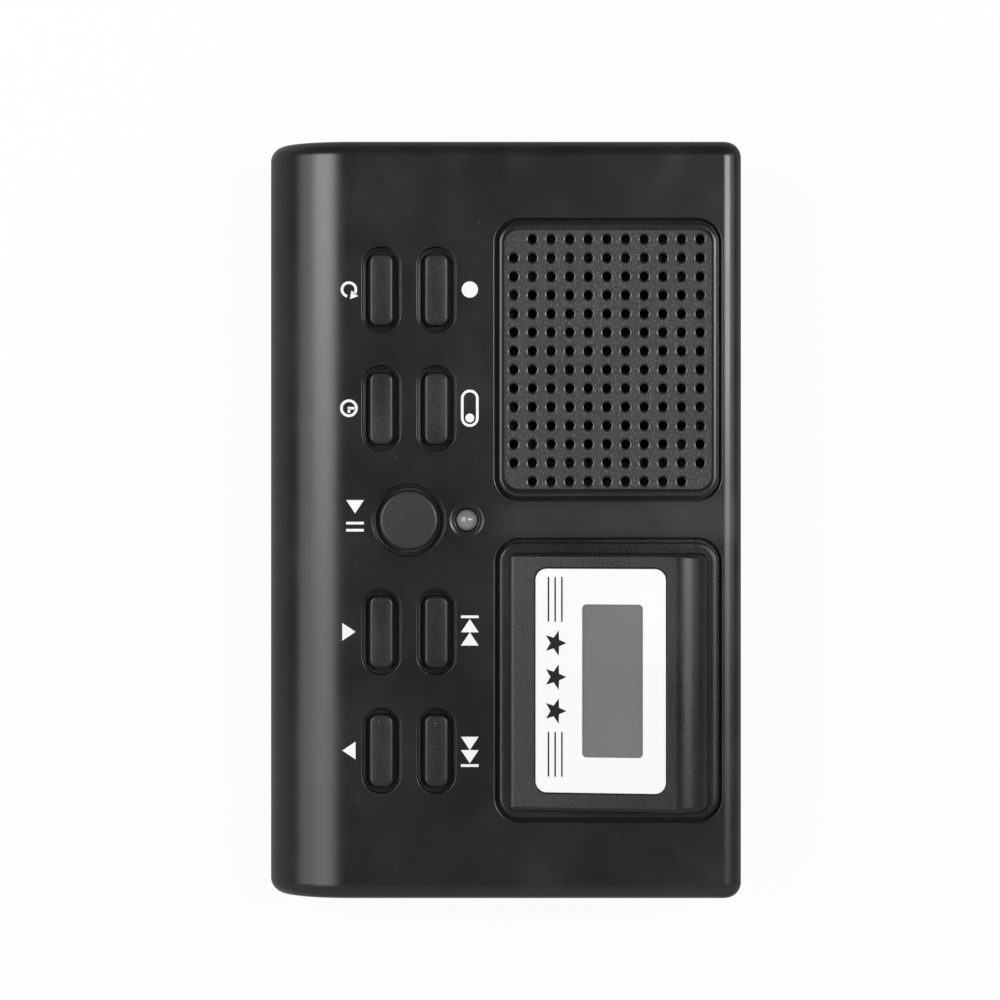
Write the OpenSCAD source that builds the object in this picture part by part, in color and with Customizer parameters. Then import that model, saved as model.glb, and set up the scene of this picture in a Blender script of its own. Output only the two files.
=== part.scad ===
// Telephone call recorder: a desk unit with nine keys, a speaker grille and a sloped display.
// Millimetres. +X is right, +Y is back, +Z is up, and the table is z = 0.

// Node that is drawn

/* [Case] */
// Length of the case, left to right
case_l = 115.7; // [104:0.1:130]
// Depth of the case, front to back
case_w = 72.5; // [66:0.1:80]
// Thickness of the side walls
wall = 2; // [1.6:0.1:2.4]
// Thickness of the roof
roof = 2.2; // [2:0.1:2.8]
// Thickness of the floor
floor_t = 2.4; // [2.2:0.1:2.6]
// Radius of the long front edge
front_r = 10.5; // [7:0.5:11]
// Radius of the long back edge
back_r = 3; // [2.8:0.1:3.4]
// Radius around both ends
edge_r = 2.4; // [1.4:0.1:2.6]
// Height of the tongue along the parting line
tongue_h = 1.2; // [0.8:0.1:1.4]
// Gap between fixed pieces that slip into each other
fit = 0.15; // [0.1:0.05:0.25]
// Gap beside a piece that slides
slide_gap = 0.3; // [0.3:0.05:0.4]

/* [Base] */
// Height of the feet below the base
foot_h = 1.2; // [0.8:0.1:2]
// Radius of a foot
foot_r = 4.5; // [3.5:0.1:5]
// Depth of a foot in its recess
foot_sink = 0.6; // [0.4:0.1:0.8]
// Distance of the feet from the ends
foot_in_x = 17.5; // [16:0.5:19]
// Distance of the feet from the long sides
foot_in_y = 8.8; // [8:0.2:11]
// Distance of the case screws from the walls
screw_in = 7.5; // [7:0.1:8]
// Radius of a case screw
screw_r = 1.3; // [1:0.1:1.5]
// Radius of a case screw head
screw_head_r = 2.3; // [2:0.1:2.5]
// Depth of the screw head above the base
screw_sink = 4; // [3.5:0.1:5]
// Radius of the screw pillars
pillar_r = 3.7; // [3.5:0.1:4]
// Length of a case screw above the parting line
screw_bite = 7; // [5:0.5:7.5]

/* [Battery] */
// Diameter of a cell
cell_d = 10.5; // [10:0.1:11]
// Length of a cell
cell_l = 44.5; // [43:0.1:46]
// Gap beside a cell
cell_gap = 0.4; // [0.3:0.1:0.6]
// Room for the contact at each end of a cell
cell_end = 2.2; // [1.8:0.1:2.6]
// Side of a contact leaf in the battery bay
leaf_w = 8; // [6:0.5:9]
// Thickness of the door
door_t = 2; // [1.8:0.1:2.1]
// Thickness of the ledge under the rim of the door
door_ledge_t = 0.8; // [0.6:0.1:1]
// Width of the ledge under the rim of the door
door_ledge = 1.4; // [1.2:0.1:1.6]
// Wall of the battery bay
bay_wall = 1.4; // [1.2:0.1:1.6]

/* [Board and keys] */
// Gap between the battery bay and the board
board_gap = 0.9; // [0.8:0.1:2]
// Thickness of the board
board_t = 1.6; // [1.2:0.1:1.8]
// Gap around the board
board_side = 1.2; // [1:0.1:1.6]
// Thickness of the key mat
mat_t = 0.7; // [0.5:0.1:1]
// Height of a rubber dome
dome_h = 2; // [1.8:0.1:3]
// Height of the foot of a key
key_pad_h = 1; // [0.8:0.1:1.6]
// Thickness of a key flange
flange_t = 1; // [0.8:0.1:1.4]
// Width of a key flange beside the key
flange_lip = 0.9; // [0.8:0.05:1]
// Length of a long key
key_l = 11.2; // [10:0.1:12]
// Width of a long key
key_w = 3.9; // [3.6:0.1:4.3]
// Corner radius of a long key
key_r = 1.7; // [1.4:0.1:1.8]
// Diameter of the round key
round_d = 9.2; // [8:0.1:9.6]
// Height of the keys above the case
key_proud = 0.5; // [0.3:0.1:1]
// Gap between a key and its hole
key_gap = 0.35; // [0.3:0.05:0.45]
// Width of the ledge around a key
well_ledge = 0.6; // [0.3:0.05:0.8]
// Depth of the ledge around a key
well_depth = 0.7; // [0.4:0.1:1]
// Place of the keys between the front curve and the inserts
key_share = 0.4656; // [0.44:0.0002:0.5]
// Distance between the two key rows
key_rows = 8.36; // [8.2:0.02:8.8]
// Distance of the inner keys from the middle
key_inner = 17.03; // [16:0.01:18]
// Distance between the inner and outer keys
key_pitch = 18.07; // [16.5:0.01:18.5]

/* [Lamp] */
// Diameter of the lamp
led_d = 3.3; // [2.8:0.1:3.6]
// Length of the lamp
led_l = 5.3; // [5:0.1:5.6]
// Height of the lamp above the case
led_proud = 0.9; // [0.5:0.1:1.4]
// Distance of the lamp behind the round key
led_back = 8.84; // [8.6:0.02:9]
// Diameter of the dish around the lamp
dish_d = 5; // [4.6:0.1:5.4]
// Depth of the dish around the lamp
dish_depth = 0.25; // [0.15:0.05:0.4]

/* [Inserts] */
// Length of an insert, left to right
insert_l = 43.2; // [42:0.1:44]
// Width of an insert, front to back
insert_w = 34.6; // [34:0.1:35]
// Corner radius of an insert
insert_r = 3.3; // [2.6:0.1:4]
// Distance between the inserts
insert_between = 5.5; // [5.4:0.1:6.4]
// Distance of the inserts from the back
insert_back = 3.3; // [3:0.1:4]
// Depth of an insert in the roof
insert_t = 1.4; // [1.2:0.1:1.5]
// Ledge under the rim of an insert
insert_ledge = 1.6; // [1.2:0.1:1.8]
// Width of the raised rim
rim_w = 1.8; // [1.4:0.1:2]
// Height of the rim above the case
rim_h = 0.35; // [0.2:0.05:0.6]
// Drop of the panel inside the rim
panel_drop = 0.15; // [0.1:0.05:0.3]
// Diameter of a sound hole
sound_d = 1.55; // [1.2:0.05:1.8]
// Distance between sound holes
sound_pitch = 2.84; // [2.6:0.01:2.86]

/* [Display] */
// Gap between the rim and the hump
hump_gap = 0.45; // [0.3:0.05:0.6]
// Tilt of the sloped face
tilt = 10; // [6:0.5:11]
// Radius behind the sloped face
roll_r = 4; // [3.6:0.1:5]
// Height of the hump at the front
hump_front_h = 0.6; // [0.4:0.1:1]
// Wall of the hump
hump_t = 1.6; // [1.4:0.1:1.8]
// Distance of the label from the ends of the hump
label_side = 2; // [1.8:0.1:2.5]
// Distance of the label from the end of the slope
label_end = 1.8; // [1:0.1:2.4]
// Corner radius of the label
label_r = 1.5; // [1:0.1:2]
// Distance of the label behind the front of the slope
label_front = 3.7; // [3.5:0.1:4]
// Thickness of the label
label_t = 0.2; // [0.15:0.05:0.3]
// Height of the label above the hump
label_proud = 0.1; // [0:0.05:0.15]
// Thickness of the clear window
window_t = 0.6; // [0.5:0.1:0.8]
// Length of the clear part of the window
view_l = 23; // [20:0.1:24]
// Width of the clear part of the window
view_w = 9; // [8:0.1:10]
// Distance of the clear part behind the middle of the label
view_back = 1.8; // [1.4:0.1:2]
// Length of the display glass past the clear part
glass_lap_x = 3.5; // [2.5:0.1:4]
// Width of the display glass past the clear part
glass_lap_y = 2.25; // [1.5:0.05:2.5]
// Thickness of the display glass
glass_t = 2; // [1.6:0.1:2.4]
// Thickness of the backlight
light_t = 1.6; // [1:0.1:2]
// Width of the display ribbon
ribbon_w = 18; // [12:0.5:20]
// Thickness of the display ribbon
ribbon_t = 0.3; // [0.2:0.05:0.4]

/* [Speaker] */
// Radius of the speaker past half the width of the insert
spk_lap = 0.75; // [0.5:0.05:0.9]
// Thickness of the gasket
gasket_t = 0.8; // [0.5:0.1:1]
// Depth of the speaker frame below the gasket
basket_h = 4.5; // [4:0.1:4.6]
// Radius of the frame at the magnet
throat_r = 10.5; // [10:0.1:11]
// Radius of the magnet
magnet_r = 9; // [8:0.1:9.5]
// Height of the magnet
magnet_h = 4.5; // [3:0.1:5]

/* [Sockets] */
// Width of a line socket
jack_w = 13; // [12.5:0.1:13.4]
// Gap between a line socket and the floor
jack_gap = 0.8; // [0.5:0.1:1]
// Depth of a line socket
jack_d = 15.5; // [14:0.1:16.5]
// Distance of the first line socket from the middle
jack_x = 12; // [11.5:0.1:12.5]
// Distance between the line sockets
jack_pitch = 18; // [16.5:0.1:19]
// Width of the plug opening
plug_w = 9.8; // [9.6:0.1:10]
// Height of the plug opening
plug_h = 6.6; // [6.4:0.1:6.8]
// Length of a contact in the plug opening
contact_l = 8; // [6:0.5:10]
// Depth of the plug opening
plug_d = 12; // [11:0.1:12.5]
// Distance of the power socket from the middle
power_x = 8.5; // [8:0.1:9]
// Radius of the power opening
power_r = 3.15; // [2.8:0.05:3.3]
// Height of the round sockets below the board
socket_drop = 6.8; // [6.6:0.1:7]
// Radius of the earphone bore
ear_r = 1.8; // [1.75:0.01:1.9]
// Width of the earphone socket
ear_w = 6.8; // [6.4:0.1:7.4]
// Depth of the earphone socket
ear_d = 12.5; // [12:0.1:13.5]
// Width of the power socket
power_w = 9; // [8.6:0.1:9.4]
// Depth of the power socket
power_d = 14; // [13:0.1:15]
// Depth of the power opening
power_bore = 9.5; // [9:0.1:10]
// Radius of the power pin
pin_r = 1.05; // [0.9:0.05:1.2]
// Height of the card socket
card_h = 2; // [1.8:0.1:2.1]
// Width of the card slot
card_w = 11.6; // [11.4:0.1:12]
// Depth of the card socket
card_d = 15; // [14:0.1:16]
// Gap between neighbours along the left end
side_gap = 4; // [3:0.1:4.5]

/* [Components] */
// Side of the main chip
chip_l = 12; // [10:0.1:13]
// Height of the chips
chip_h = 1.5; // [1.2:0.1:1.8]
// Width of the memory chip
memory_w = 5; // [4:0.1:5.4]
// Length of the memory chip
memory_l = 7; // [6:0.1:8]
// Width of the transformer
coil_w = 11; // [10:0.1:12]
// Length of the transformer
coil_l = 14; // [13:0.1:15]
// Height of the transformer
coil_h = 9.4; // [9:0.1:10]
// Width of the transformer core
core_w = 5.8; // [5:0.1:6.4]
// Height of the transformer core
core_h = 5.2; // [4.6:0.1:5.4]
// Radius of a capacitor
cap_r = 3.1; // [2.8:0.1:3.4]
// Height of a capacitor
cap_h = 9; // [8:0.1:10]
// Length of the crystal
crystal_l = 10; // [9:0.1:11]
// Width of the crystal
crystal_w = 4; // [3.6:0.1:4.4]
// Height of the crystal
crystal_h = 3.4; // [3:0.1:3.8]
// Distance of the parts on the right from the end of the board
right_in = 14.3; // [13.5:0.1:15.5]

/* [Hidden] */
$fn = 48;
// How far a cutter runs past the face it cuts
over = 1;

base_z = foot_h;
floor_z = base_z + floor_t;
cell_z = base_z + door_t + cell_gap;
bay_in_z = cell_z + cell_d + cell_gap;
bay_z = bay_in_z + bay_wall;
board_z = bay_z + board_gap;
board_top = board_z + board_t;
mat_top = board_top + mat_t;
dome_top = mat_top + dome_h;
flange_z = dome_top + key_pad_h;
roof_z = flange_z + flange_t;
case_top = roof_z + roof;
key_top = case_top + key_proud;
card_z = board_z - card_h;
seam_z = card_z - 0.5;
slot_h = card_h + 0.4;

// Half sizes of the space inside the walls
in_x = case_l / 2 - wall;
in_y = case_w / 2 - wall;

// Battery bay, with the front wall of the case as its front wall
bay_x = cell_l / 2 + cell_end;
bay_y0 = -in_y;
CELLS = 2;
cell_pitch = cell_d + cell_gap;
bay_y1 = bay_y0 + CELLS * cell_pitch + cell_gap;

screw_x = case_l / 2 - screw_in;
screw_y = case_w / 2 - screw_in;

// Keys: outer and inner pair of each row, front row first
curve_y = front_r - case_w / 2;
insert_y0 = case_w / 2 - insert_back - insert_w;
play_y = curve_y + key_share * (insert_y0 - curve_y);
key_y0 = play_y - key_rows / 2;
key_y1 = play_y + key_rows / 2;
key_outer = key_inner + key_pitch;
LONG_KEYS = [
    [-key_outer, key_y0], [-key_inner, key_y0], [key_inner, key_y0], [key_outer, key_y0],
    [-key_outer, key_y1], [-key_inner, key_y1], [key_inner, key_y1], [key_outer, key_y1]
];
led_y = play_y + led_back;
hole_l = key_l + 2 * key_gap;
hole_w = key_w + 2 * key_gap;
hole_d = round_d + 2 * key_gap;
dome_l = key_l - 3;
dome_w = key_w - 0.7;
mat_side = 1.6;

insert_x = (insert_between + insert_l) / 2;
insert_y = insert_y0 + insert_w / 2;
insert_z = case_top - insert_t;
panel_z = case_top - panel_drop;
body_l = insert_l - 2 * fit;
body_w = insert_w - 2 * fit;
body_r = insert_r - fit;
open_l = insert_l - 2 * insert_ledge;
open_w = insert_w - 2 * insert_ledge;

// Hump: length of the slope, its front foot, and centre of the roll behind it
hump_l = body_l - 2 * rim_w - 2 * hump_gap;
hump_w = body_w - 2 * rim_w - 2 * hump_gap;
slope_l = (hump_w - roll_r * (1 + sin(tilt))) / cos(tilt);
hump_y = insert_y - hump_w / 2;
hump_z = case_top + hump_front_h;
roll_y = hump_y + slope_l * cos(tilt) + roll_r * sin(tilt);
roll_z = hump_z + slope_l * sin(tilt) - roll_r * cos(tilt);
label_l = hump_l - 2 * label_side;
label_w = slope_l - label_front - label_end;
label_s = label_front + label_w / 2;
view_s = label_s + view_back;
label_sink = label_t + window_t - label_proud;
glass_l = view_l + 2 * glass_lap_x;
glass_w = view_w + 2 * glass_lap_y;

board_x = in_x - board_side;
board_y0 = -in_y + board_side + 0.6;
board_y1 = in_y - 0.6;
board_screw_r = 1.1;
board_head_r = 2;

// Along the left end, from the front post: card socket, board screw, earphone socket
card_y = -screw_y + pillar_r + side_gap + card_w / 2 + 1.5;
board_screw_y = card_y + card_w / 2 + 1.5 + side_gap + board_head_r;
ear_y = board_screw_y + board_head_r + side_gap / 2 + ear_w / 2;
BOARD_SCREWS = [
    [-insert_x - insert_l / 2 - 1.2, board_screw_y],
    [insert_x + insert_l / 2 + 1.2, board_screw_y],
    [0, in_y - 8]
];

spk_r = insert_w / 2 + spk_lap;
basket_z = roof_z - gasket_t - basket_h;
rim_z = roof_z - gasket_t;
ring_w = 1.2;

jack_y = in_y - fit;
jack_z = floor_z + jack_gap;
latch_h = 1.4;
plug_z = jack_z + 1 + latch_h;
socket_z = board_z - socket_drop;
right_x = board_x - right_in;
coil_y = -coil_l;
cap_pitch = 2 * cap_r + 0.9;
cap_x = BOARD_SCREWS[1][0] - board_head_r - 1 - cap_r;
core_z = board_z - (coil_h + core_h) / 2;

module box(x0, x1, y0, y1, z0, z1) {
    translate([x0, y0, z0]) cube([x1 - x0, y1 - y0, z1 - z0]);
}

module along_x(l) {
    rotate([90, 0, 90]) linear_extrude(l, center = true) children();
}

// Corner of a square that a quarter circle leaves
module corner_cut(r) {
    difference() {
        square(r + over);
        circle(r);
    }
}

module rounded(l, w, r) {
    difference() {
        square([l, w], center = true);
        translate([l / 2 - r, w / 2 - r]) corner_cut(r);
        translate([r - l / 2, w / 2 - r]) rotate(90) corner_cut(r);
        translate([r - l / 2, r - w / 2]) rotate(180) corner_cut(r);
        translate([l / 2 - r, r - w / 2]) rotate(270) corner_cut(r);
    }
}

module plate(l, w, r, z0, z1) {
    translate([0, 0, z0]) linear_extrude(z1 - z0) rounded(l, w, r);
}

module rod(r, z0, z1) {
    translate([0, 0, z0]) cylinder(h = z1 - z0, r = r);
}

module four(x, y) {
    for (sx = [-1, 1])
        for (sy = [-1, 1])
            translate([sx * x, sy * y, 0]) children();
}

// Case seen from its end, set in by inset, from height low to height top, with back radius br
module side_outline(inset, low, top, br) {
    half = case_w / 2 - inset;
    fr = front_r - inset;
    difference() {
        translate([-half, low]) square([2 * half, top - low]);
        translate([fr - half, top - fr]) rotate(90) corner_cut(fr);
        translate([half - br, top - br]) corner_cut(br);
    }
}

module edge_section() {
    translate([-edge_r, -edge_r]) corner_cut(edge_r);
}

// Cutter that rounds the right end, run along the outline of the case
module end_cut() {
    half = case_w / 2;
    x = case_l / 2;
    translate([x, front_r - half, case_top])
        rotate([-90, -90, 0])
            linear_extrude(case_w - front_r - back_r) edge_section();
    translate([x, front_r - half, case_top - front_r])
        rotate([0, 90, 0])
            rotate([0, 0, 180])
                rotate_extrude(angle = 90) translate([front_r, 0]) edge_section();
    translate([x, half - back_r, case_top - back_r])
        rotate([0, 90, 0])
            rotate([0, 0, 180])
                rotate_extrude(angle = -90) translate([back_r, 0]) edge_section();
    translate([x, -half, base_z - over])
        linear_extrude(case_top - front_r - base_z + over) rotate(-90) edge_section();
    translate([x, half, base_z - over])
        linear_extrude(case_top - back_r - base_z + over) edge_section();
}

module case_block() {
    difference() {
        along_x(case_l) side_outline(0, base_z, case_top, back_r);
        end_cut();
        mirror([1, 0, 0]) end_cut();
    }
}

// Space inside the walls
module case_space(low) {
    along_x(2 * in_x) side_outline(wall, low, roof_z, 0.3);
}

module left_slot() {
    box(-case_l / 2 - over, -in_x + over, card_y - card_w / 2 - 0.5, card_y + card_w / 2 + 0.5,
        seam_z, seam_z + slot_h);
}

module key_well() {
    plate(hole_l, hole_w, hole_w / 2 - 0.05, roof_z - over, case_top);
    plate(hole_l + 2 * well_ledge, hole_w + 2 * well_ledge, hole_w / 2 + well_ledge - 0.05,
          case_top - well_depth, case_top + over);
}

module top_posts() {
    intersection() {
        four(screw_x, screw_y) rod(pillar_r, seam_z, case_top);
        along_x(case_l - wall) side_outline(wall / 2, seam_z, case_top - roof / 2, back_r - wall / 2);
    }
    for (p = BOARD_SCREWS)
        translate([p[0], p[1], 0]) rod(2.4, board_top, roof_z + 0.2);
    translate([-insert_x, insert_y, 0])
        difference() {
            rod(spk_r + fit + ring_w, roof_z - 2.6, roof_z + 0.2);
            rod(spk_r + fit, roof_z - 2.6 - over, roof_z + over);
        }
}

module top_shell() {
    color([0.06, 0.06, 0.065])
    difference() {
        union() {
            difference() {
                case_block();
                box(-case_l, case_l, -case_w, case_w, base_z - over, seam_z);
                case_space(seam_z - over);
                plate(case_l - wall, case_w - wall, edge_r - wall / 2, seam_z - over,
                      seam_z + tongue_h + fit);
            }
            top_posts();
        }
        for (sx = [-1, 1])
            translate([sx * insert_x, insert_y, 0]) {
                plate(insert_l, insert_w, insert_r, insert_z, case_top + over);
                plate(open_l, open_w, insert_r, roof_z - over, insert_z + over);
            }
        for (p = LONG_KEYS)
            translate([p[0], p[1], 0]) key_well();
        translate([0, play_y, 0]) {
            rod(hole_d / 2, roof_z - over, case_top);
            rod(hole_d / 2 + well_ledge, case_top - well_depth, case_top + over);
        }
        translate([0, led_y, 0]) {
            rod(led_d / 2 + fit, roof_z - over, case_top);
            rod(dish_d / 2, case_top - dish_depth, case_top + over);
        }
        four(screw_x, screw_y) rod(screw_r + 0.03, seam_z - over, seam_z + screw_bite + 0.4);
        for (p = BOARD_SCREWS)
            translate([p[0], p[1], 0]) rod(board_screw_r + 0.03, board_top - over, roof_z - 0.6);
        left_slot();
    }
}

module bottom_shell() {
    color([0.06, 0.06, 0.065])
    difference() {
        union() {
            difference() {
                case_block();
                box(-case_l, case_l, -case_w, case_w, seam_z, case_top + over);
                case_space(floor_z);
            }
            difference() {
                plate(case_l - wall - 2 * fit, case_w - wall - 2 * fit, edge_r - wall / 2,
                      seam_z - over, seam_z + tongue_h);
                box(-in_x, in_x, -in_y, in_y, seam_z - 2 * over, seam_z + tongue_h + over);
            }
            four(screw_x, screw_y) rod(pillar_r, base_z + 0.5, seam_z);
            box(-bay_x - bay_wall, bay_x + bay_wall, bay_y0 - wall / 2, bay_y1 + bay_wall,
                base_z + 0.5, seam_z - 0.5);
            box(-bay_x - bay_wall, bay_x + bay_wall, bay_y0 + fit, bay_y1 + bay_wall,
                seam_z - over, bay_z);
        }
        box(-bay_x, bay_x, bay_y0, bay_y1, base_z + door_ledge_t, bay_in_z);
        box(-bay_x + door_ledge, bay_x - door_ledge, -case_w, bay_y1 - door_ledge,
            base_z - over, base_z + door_ledge_t + over);
        box(-bay_x, bay_x, -case_w, bay_y0 + over, base_z + door_ledge_t,
            base_z + door_t + slide_gap);
        four(screw_x, screw_y) {
            rod(screw_head_r + 0.4, base_z - over, base_z + screw_sink);
            rod(screw_r + 0.15, base_z - over, seam_z + over);
        }
        four(case_l / 2 - foot_in_x, case_w / 2 - foot_in_y)
            rod(foot_r + 0.05, base_z - over, base_z + foot_sink);
        for (i = [0, 1])
            box(jack_x + i * jack_pitch - plug_w / 2 - 0.6, jack_x + i * jack_pitch + plug_w / 2 + 0.6,
                in_y - over, case_w, jack_z + 0.5, plug_z + plug_h + 0.2);
        translate([-power_x, in_y - over, socket_z])
            rotate([-90, 0, 0]) cylinder(h = wall + 2 * over, r = power_r + 0.5);
        translate([-case_l / 2 - over, ear_y, socket_z])
            rotate([0, 90, 0]) cylinder(h = wall + 2 * over, r = ear_r + 1.4);
        left_slot();
    }
}

// Raised rim that both inserts carry
module insert_rim() {
    translate([0, 0, insert_z])
        linear_extrude(insert_t + rim_h)
            difference() {
                rounded(body_l, body_w, body_r);
                rounded(body_l - 2 * rim_w, body_w - 2 * rim_w, body_r - rim_w + 0.6);
            }
}

// Sound holes: as many as the panel holds, with three of the corner holes left out
module sound_holes() {
    nx = floor((body_l - 2 * rim_w - sound_d) / sound_pitch);
    ny = floor((body_w - 2 * rim_w - sound_d) / sound_pitch);
    for (i = [0 : nx])
        for (j = [0 : ny])
            if (!((i == 0 && j == 0) || (i == nx && j == 0) || (i == nx && j == ny)))
                translate([(i - nx / 2) * sound_pitch, (j - ny / 2) * sound_pitch])
                    circle(d = sound_d);
}

module speaker_grille() {
    color([0.07, 0.07, 0.075])
    translate([-insert_x, insert_y, 0]) {
        insert_rim();
        translate([0, 0, insert_z])
            linear_extrude(insert_t - panel_drop)
                difference() {
                    rounded(body_l - 2 * rim_w, body_w - 2 * rim_w, body_r - rim_w + 0.6);
                    sound_holes();
                }
    }
}

// Hump seen from its end, set in by inset, down to height low
module hump_outline(inset, low) {
    r = roll_r - inset;
    y0 = hump_y + inset;
    z0 = hump_z + inset * tan(tilt) - inset / cos(tilt);
    ye = roll_y - r * sin(tilt);
    ze = roll_z + r * cos(tilt);
    polygon([[y0, low], [y0, z0], [ye, ze], [roll_y, roll_z], [roll_y + r, roll_z], [roll_y + r, low]]);
    intersection() {
        translate([roll_y, roll_z]) circle(r);
        translate([roll_y, roll_z])
            polygon([[0, 0], [2 * r, 0], [2 * r, 2 * r], [-2 * r * sin(tilt), 2 * r * cos(tilt)]]);
    }
}

// Place on the slope: s along it from its front edge, depth below its face
module on_slope(s, depth) {
    translate([insert_x, hump_y, hump_z])
        rotate([tilt, 0, 0]) translate([0, s, -depth]) children();
}

module display_bezel() {
    color([0.06, 0.06, 0.065])
    difference() {
        union() {
            translate([insert_x, insert_y, 0]) {
                insert_rim();
                plate(body_l - rim_w, body_w - rim_w, body_r - rim_w / 2, insert_z, panel_z);
            }
            translate([insert_x, 0, 0]) along_x(hump_l) hump_outline(0, insert_z);
        }
        translate([insert_x, 0, 0]) along_x(hump_l - 2 * hump_t) hump_outline(hump_t, insert_z - over);
        on_slope(label_s, label_sink) plate(label_l, label_w, label_r, 0, 2 * over);
        on_slope(view_s, 2 * hump_t) plate(view_l + 1.4, view_w + 1.4, 0.5, 0, 3 * hump_t);
    }
}

module display_window() {
    color([0.75, 0.78, 0.8, 0.5])
    on_slope(label_s, label_sink)
        plate(label_l - 2 * fit, label_w - 2 * fit, label_r - fit, 0, window_t);
}

module display_label() {
    color([0.9, 0.9, 0.9])
    on_slope(label_s, label_t - label_proud)
        linear_extrude(label_t)
            difference() {
                rounded(label_l - 2 * fit, label_w - 2 * fit, label_r - fit);
                translate([0, view_back]) rounded(view_l, view_w, 0.5);
            }
}

module lcd_panel() {
    color([0.45, 0.47, 0.46])
    on_slope(view_s, hump_t + glass_t)
        plate(glass_l, glass_w, 0.3, 0, glass_t);
}

module lcd_backlight() {
    color([0.9, 0.9, 0.88])
    on_slope(view_s, hump_t + glass_t + light_t)
        plate(glass_l - 1, glass_w - 1, 0.5, 0, light_t);
}

module lcd_ribbon() {
    color([0.75, 0.5, 0.15])
    translate([insert_x, hump_y + (view_s - glass_w / 2 - 1) * cos(tilt), 0])
        box(-ribbon_w / 2, ribbon_w / 2, -ribbon_t / 2, ribbon_t / 2, board_top, roof_z + 0.6);
}

module battery_door() {
    lip = door_ledge + slide_gap;
    color([0.06, 0.06, 0.065])
    difference() {
        union() {
            box(-bay_x + lip, bay_x - lip, -case_w / 2, bay_y1 - lip, base_z, base_z + door_t);
            box(-bay_x + slide_gap, bay_x - slide_gap, -case_w / 2, bay_y1 - slide_gap,
                base_z + door_ledge_t + slide_gap, base_z + door_t);
        }
        for (i = [0 : 3])
            box(-7, 7, bay_y0 + 4 + 2 * i, bay_y0 + 5 + 2 * i, base_z - over, base_z + 0.5);
    }
}

module rubber_feet() {
    color([0.1, 0.1, 0.1])
    four(case_l / 2 - foot_in_x, case_w / 2 - foot_in_y) rod(foot_r, 0, foot_h + foot_sink);
}

module case_screws() {
    seat = base_z + screw_sink;
    color([0.6, 0.6, 0.62])
    four(screw_x, screw_y)
        difference() {
            union() {
                rod(screw_head_r, seat - 1.7, seat);
                rod(screw_r, seat - 1, seam_z + screw_bite);
            }
            box(-1.5, 1.5, -0.3, 0.3, seat - 1.7 - over, seat - 0.8);
            box(-0.3, 0.3, -1.5, 1.5, seat - 1.7 - over, seat - 0.8);
        }
}

module long_key(i) {
    translate([LONG_KEYS[i][0], LONG_KEYS[i][1], 0]) {
        plate(key_l, key_w, key_r, roof_z - flange_t / 2, key_top);
        plate(key_l + 2 * flange_lip, key_w + 2 * flange_lip, key_r, flange_z, roof_z);
        plate(dome_l, dome_w, 1, dome_top, roof_z - flange_t / 2);
    }
}

module replay_key() {
    color([0.12, 0.12, 0.125]) long_key(0);
}

module timer_key() {
    color([0.12, 0.12, 0.125]) long_key(1);
}

module up_key() {
    color([0.12, 0.12, 0.125]) long_key(2);
}

module down_key() {
    color([0.12, 0.12, 0.125]) long_key(3);
}

module record_key() {
    color([0.12, 0.12, 0.125]) long_key(4);
}

module mode_key() {
    color([0.12, 0.12, 0.125]) long_key(5);
}

module previous_key() {
    color([0.12, 0.12, 0.125]) long_key(6);
}

module next_key() {
    color([0.12, 0.12, 0.125]) long_key(7);
}

module play_key() {
    color([0.12, 0.12, 0.125])
    translate([0, play_y, 0]) {
        rod(round_d / 2, roof_z - flange_t / 2, key_top);
        rod(round_d / 2 + flange_lip, flange_z, roof_z);
        rod(round_d / 2 - 1.6, dome_top, roof_z - flange_t / 2);
    }
}

// Mat with a rubber dome under each key
module key_mat() {
    mat_l = 2 * (key_outer + key_l / 2 + mat_side);
    mat_w = key_rows + key_w + 2 * mat_side;
    color([0.5, 0.5, 0.48]) {
        translate([0, play_y, 0]) plate(mat_l, mat_w, 1.5, board_top, mat_top);
        for (p = LONG_KEYS)
            translate([p[0], p[1], 0]) {
                plate(dome_l + 1.4, dome_w + 1.4, 1.2, mat_top - 0.3, mat_top + 0.7);
                plate(dome_l, dome_w, 1, mat_top - 0.3, dome_top);
            }
        translate([0, play_y, 0]) {
            rod(round_d / 2 - 0.9, mat_top - 0.3, mat_top + 0.7);
            rod(round_d / 2 - 1.6, mat_top - 0.3, dome_top);
        }
    }
}

module main_board() {
    color([0.1, 0.35, 0.18])
    difference() {
        box(-board_x, board_x, board_y0, board_y1, board_z, board_top);
        four(screw_x, screw_y) rod(pillar_r + 0.6, board_z - over, board_top + over);
        four(case_l / 2, case_w / 2)
            box(-screw_in, screw_in, -screw_in, screw_in, board_z - over, board_top + over);
        for (p = BOARD_SCREWS)
            translate([p[0], p[1], 0]) rod(board_screw_r + 0.2, board_z - over, board_top + over);
        translate([-insert_x, insert_y, 0]) rod(throat_r + 2.6, board_z - over, board_top + over);
    }
}

module board_screws() {
    color([0.6, 0.6, 0.62])
    for (p = BOARD_SCREWS)
        translate([p[0], p[1], 0])
            difference() {
                union() {
                    rod(2, board_z - 1.4, board_z);
                    rod(board_screw_r, board_z - 1, roof_z - 1.2);
                }
                box(-1.3, 1.3, -0.25, 0.25, board_z - 1.4 - over, board_z - 0.7);
                box(-0.25, 0.25, -1.3, 1.3, board_z - 1.4 - over, board_z - 0.7);
            }
}

module led_lamp() {
    r = led_d / 2;
    top = case_top + led_proud - r;
    low = case_top + led_proud - led_l;
    color([0.85, 0.9, 0.9, 0.7])
    translate([0, led_y, 0])
        rotate_extrude() {
            translate([0, low]) square([r, top - low]);
            translate([0, low]) square([r + 0.35, 0.9]);
            translate([0, top])
                intersection() {
                    circle(r);
                    square(r);
                }
        }
}

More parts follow.
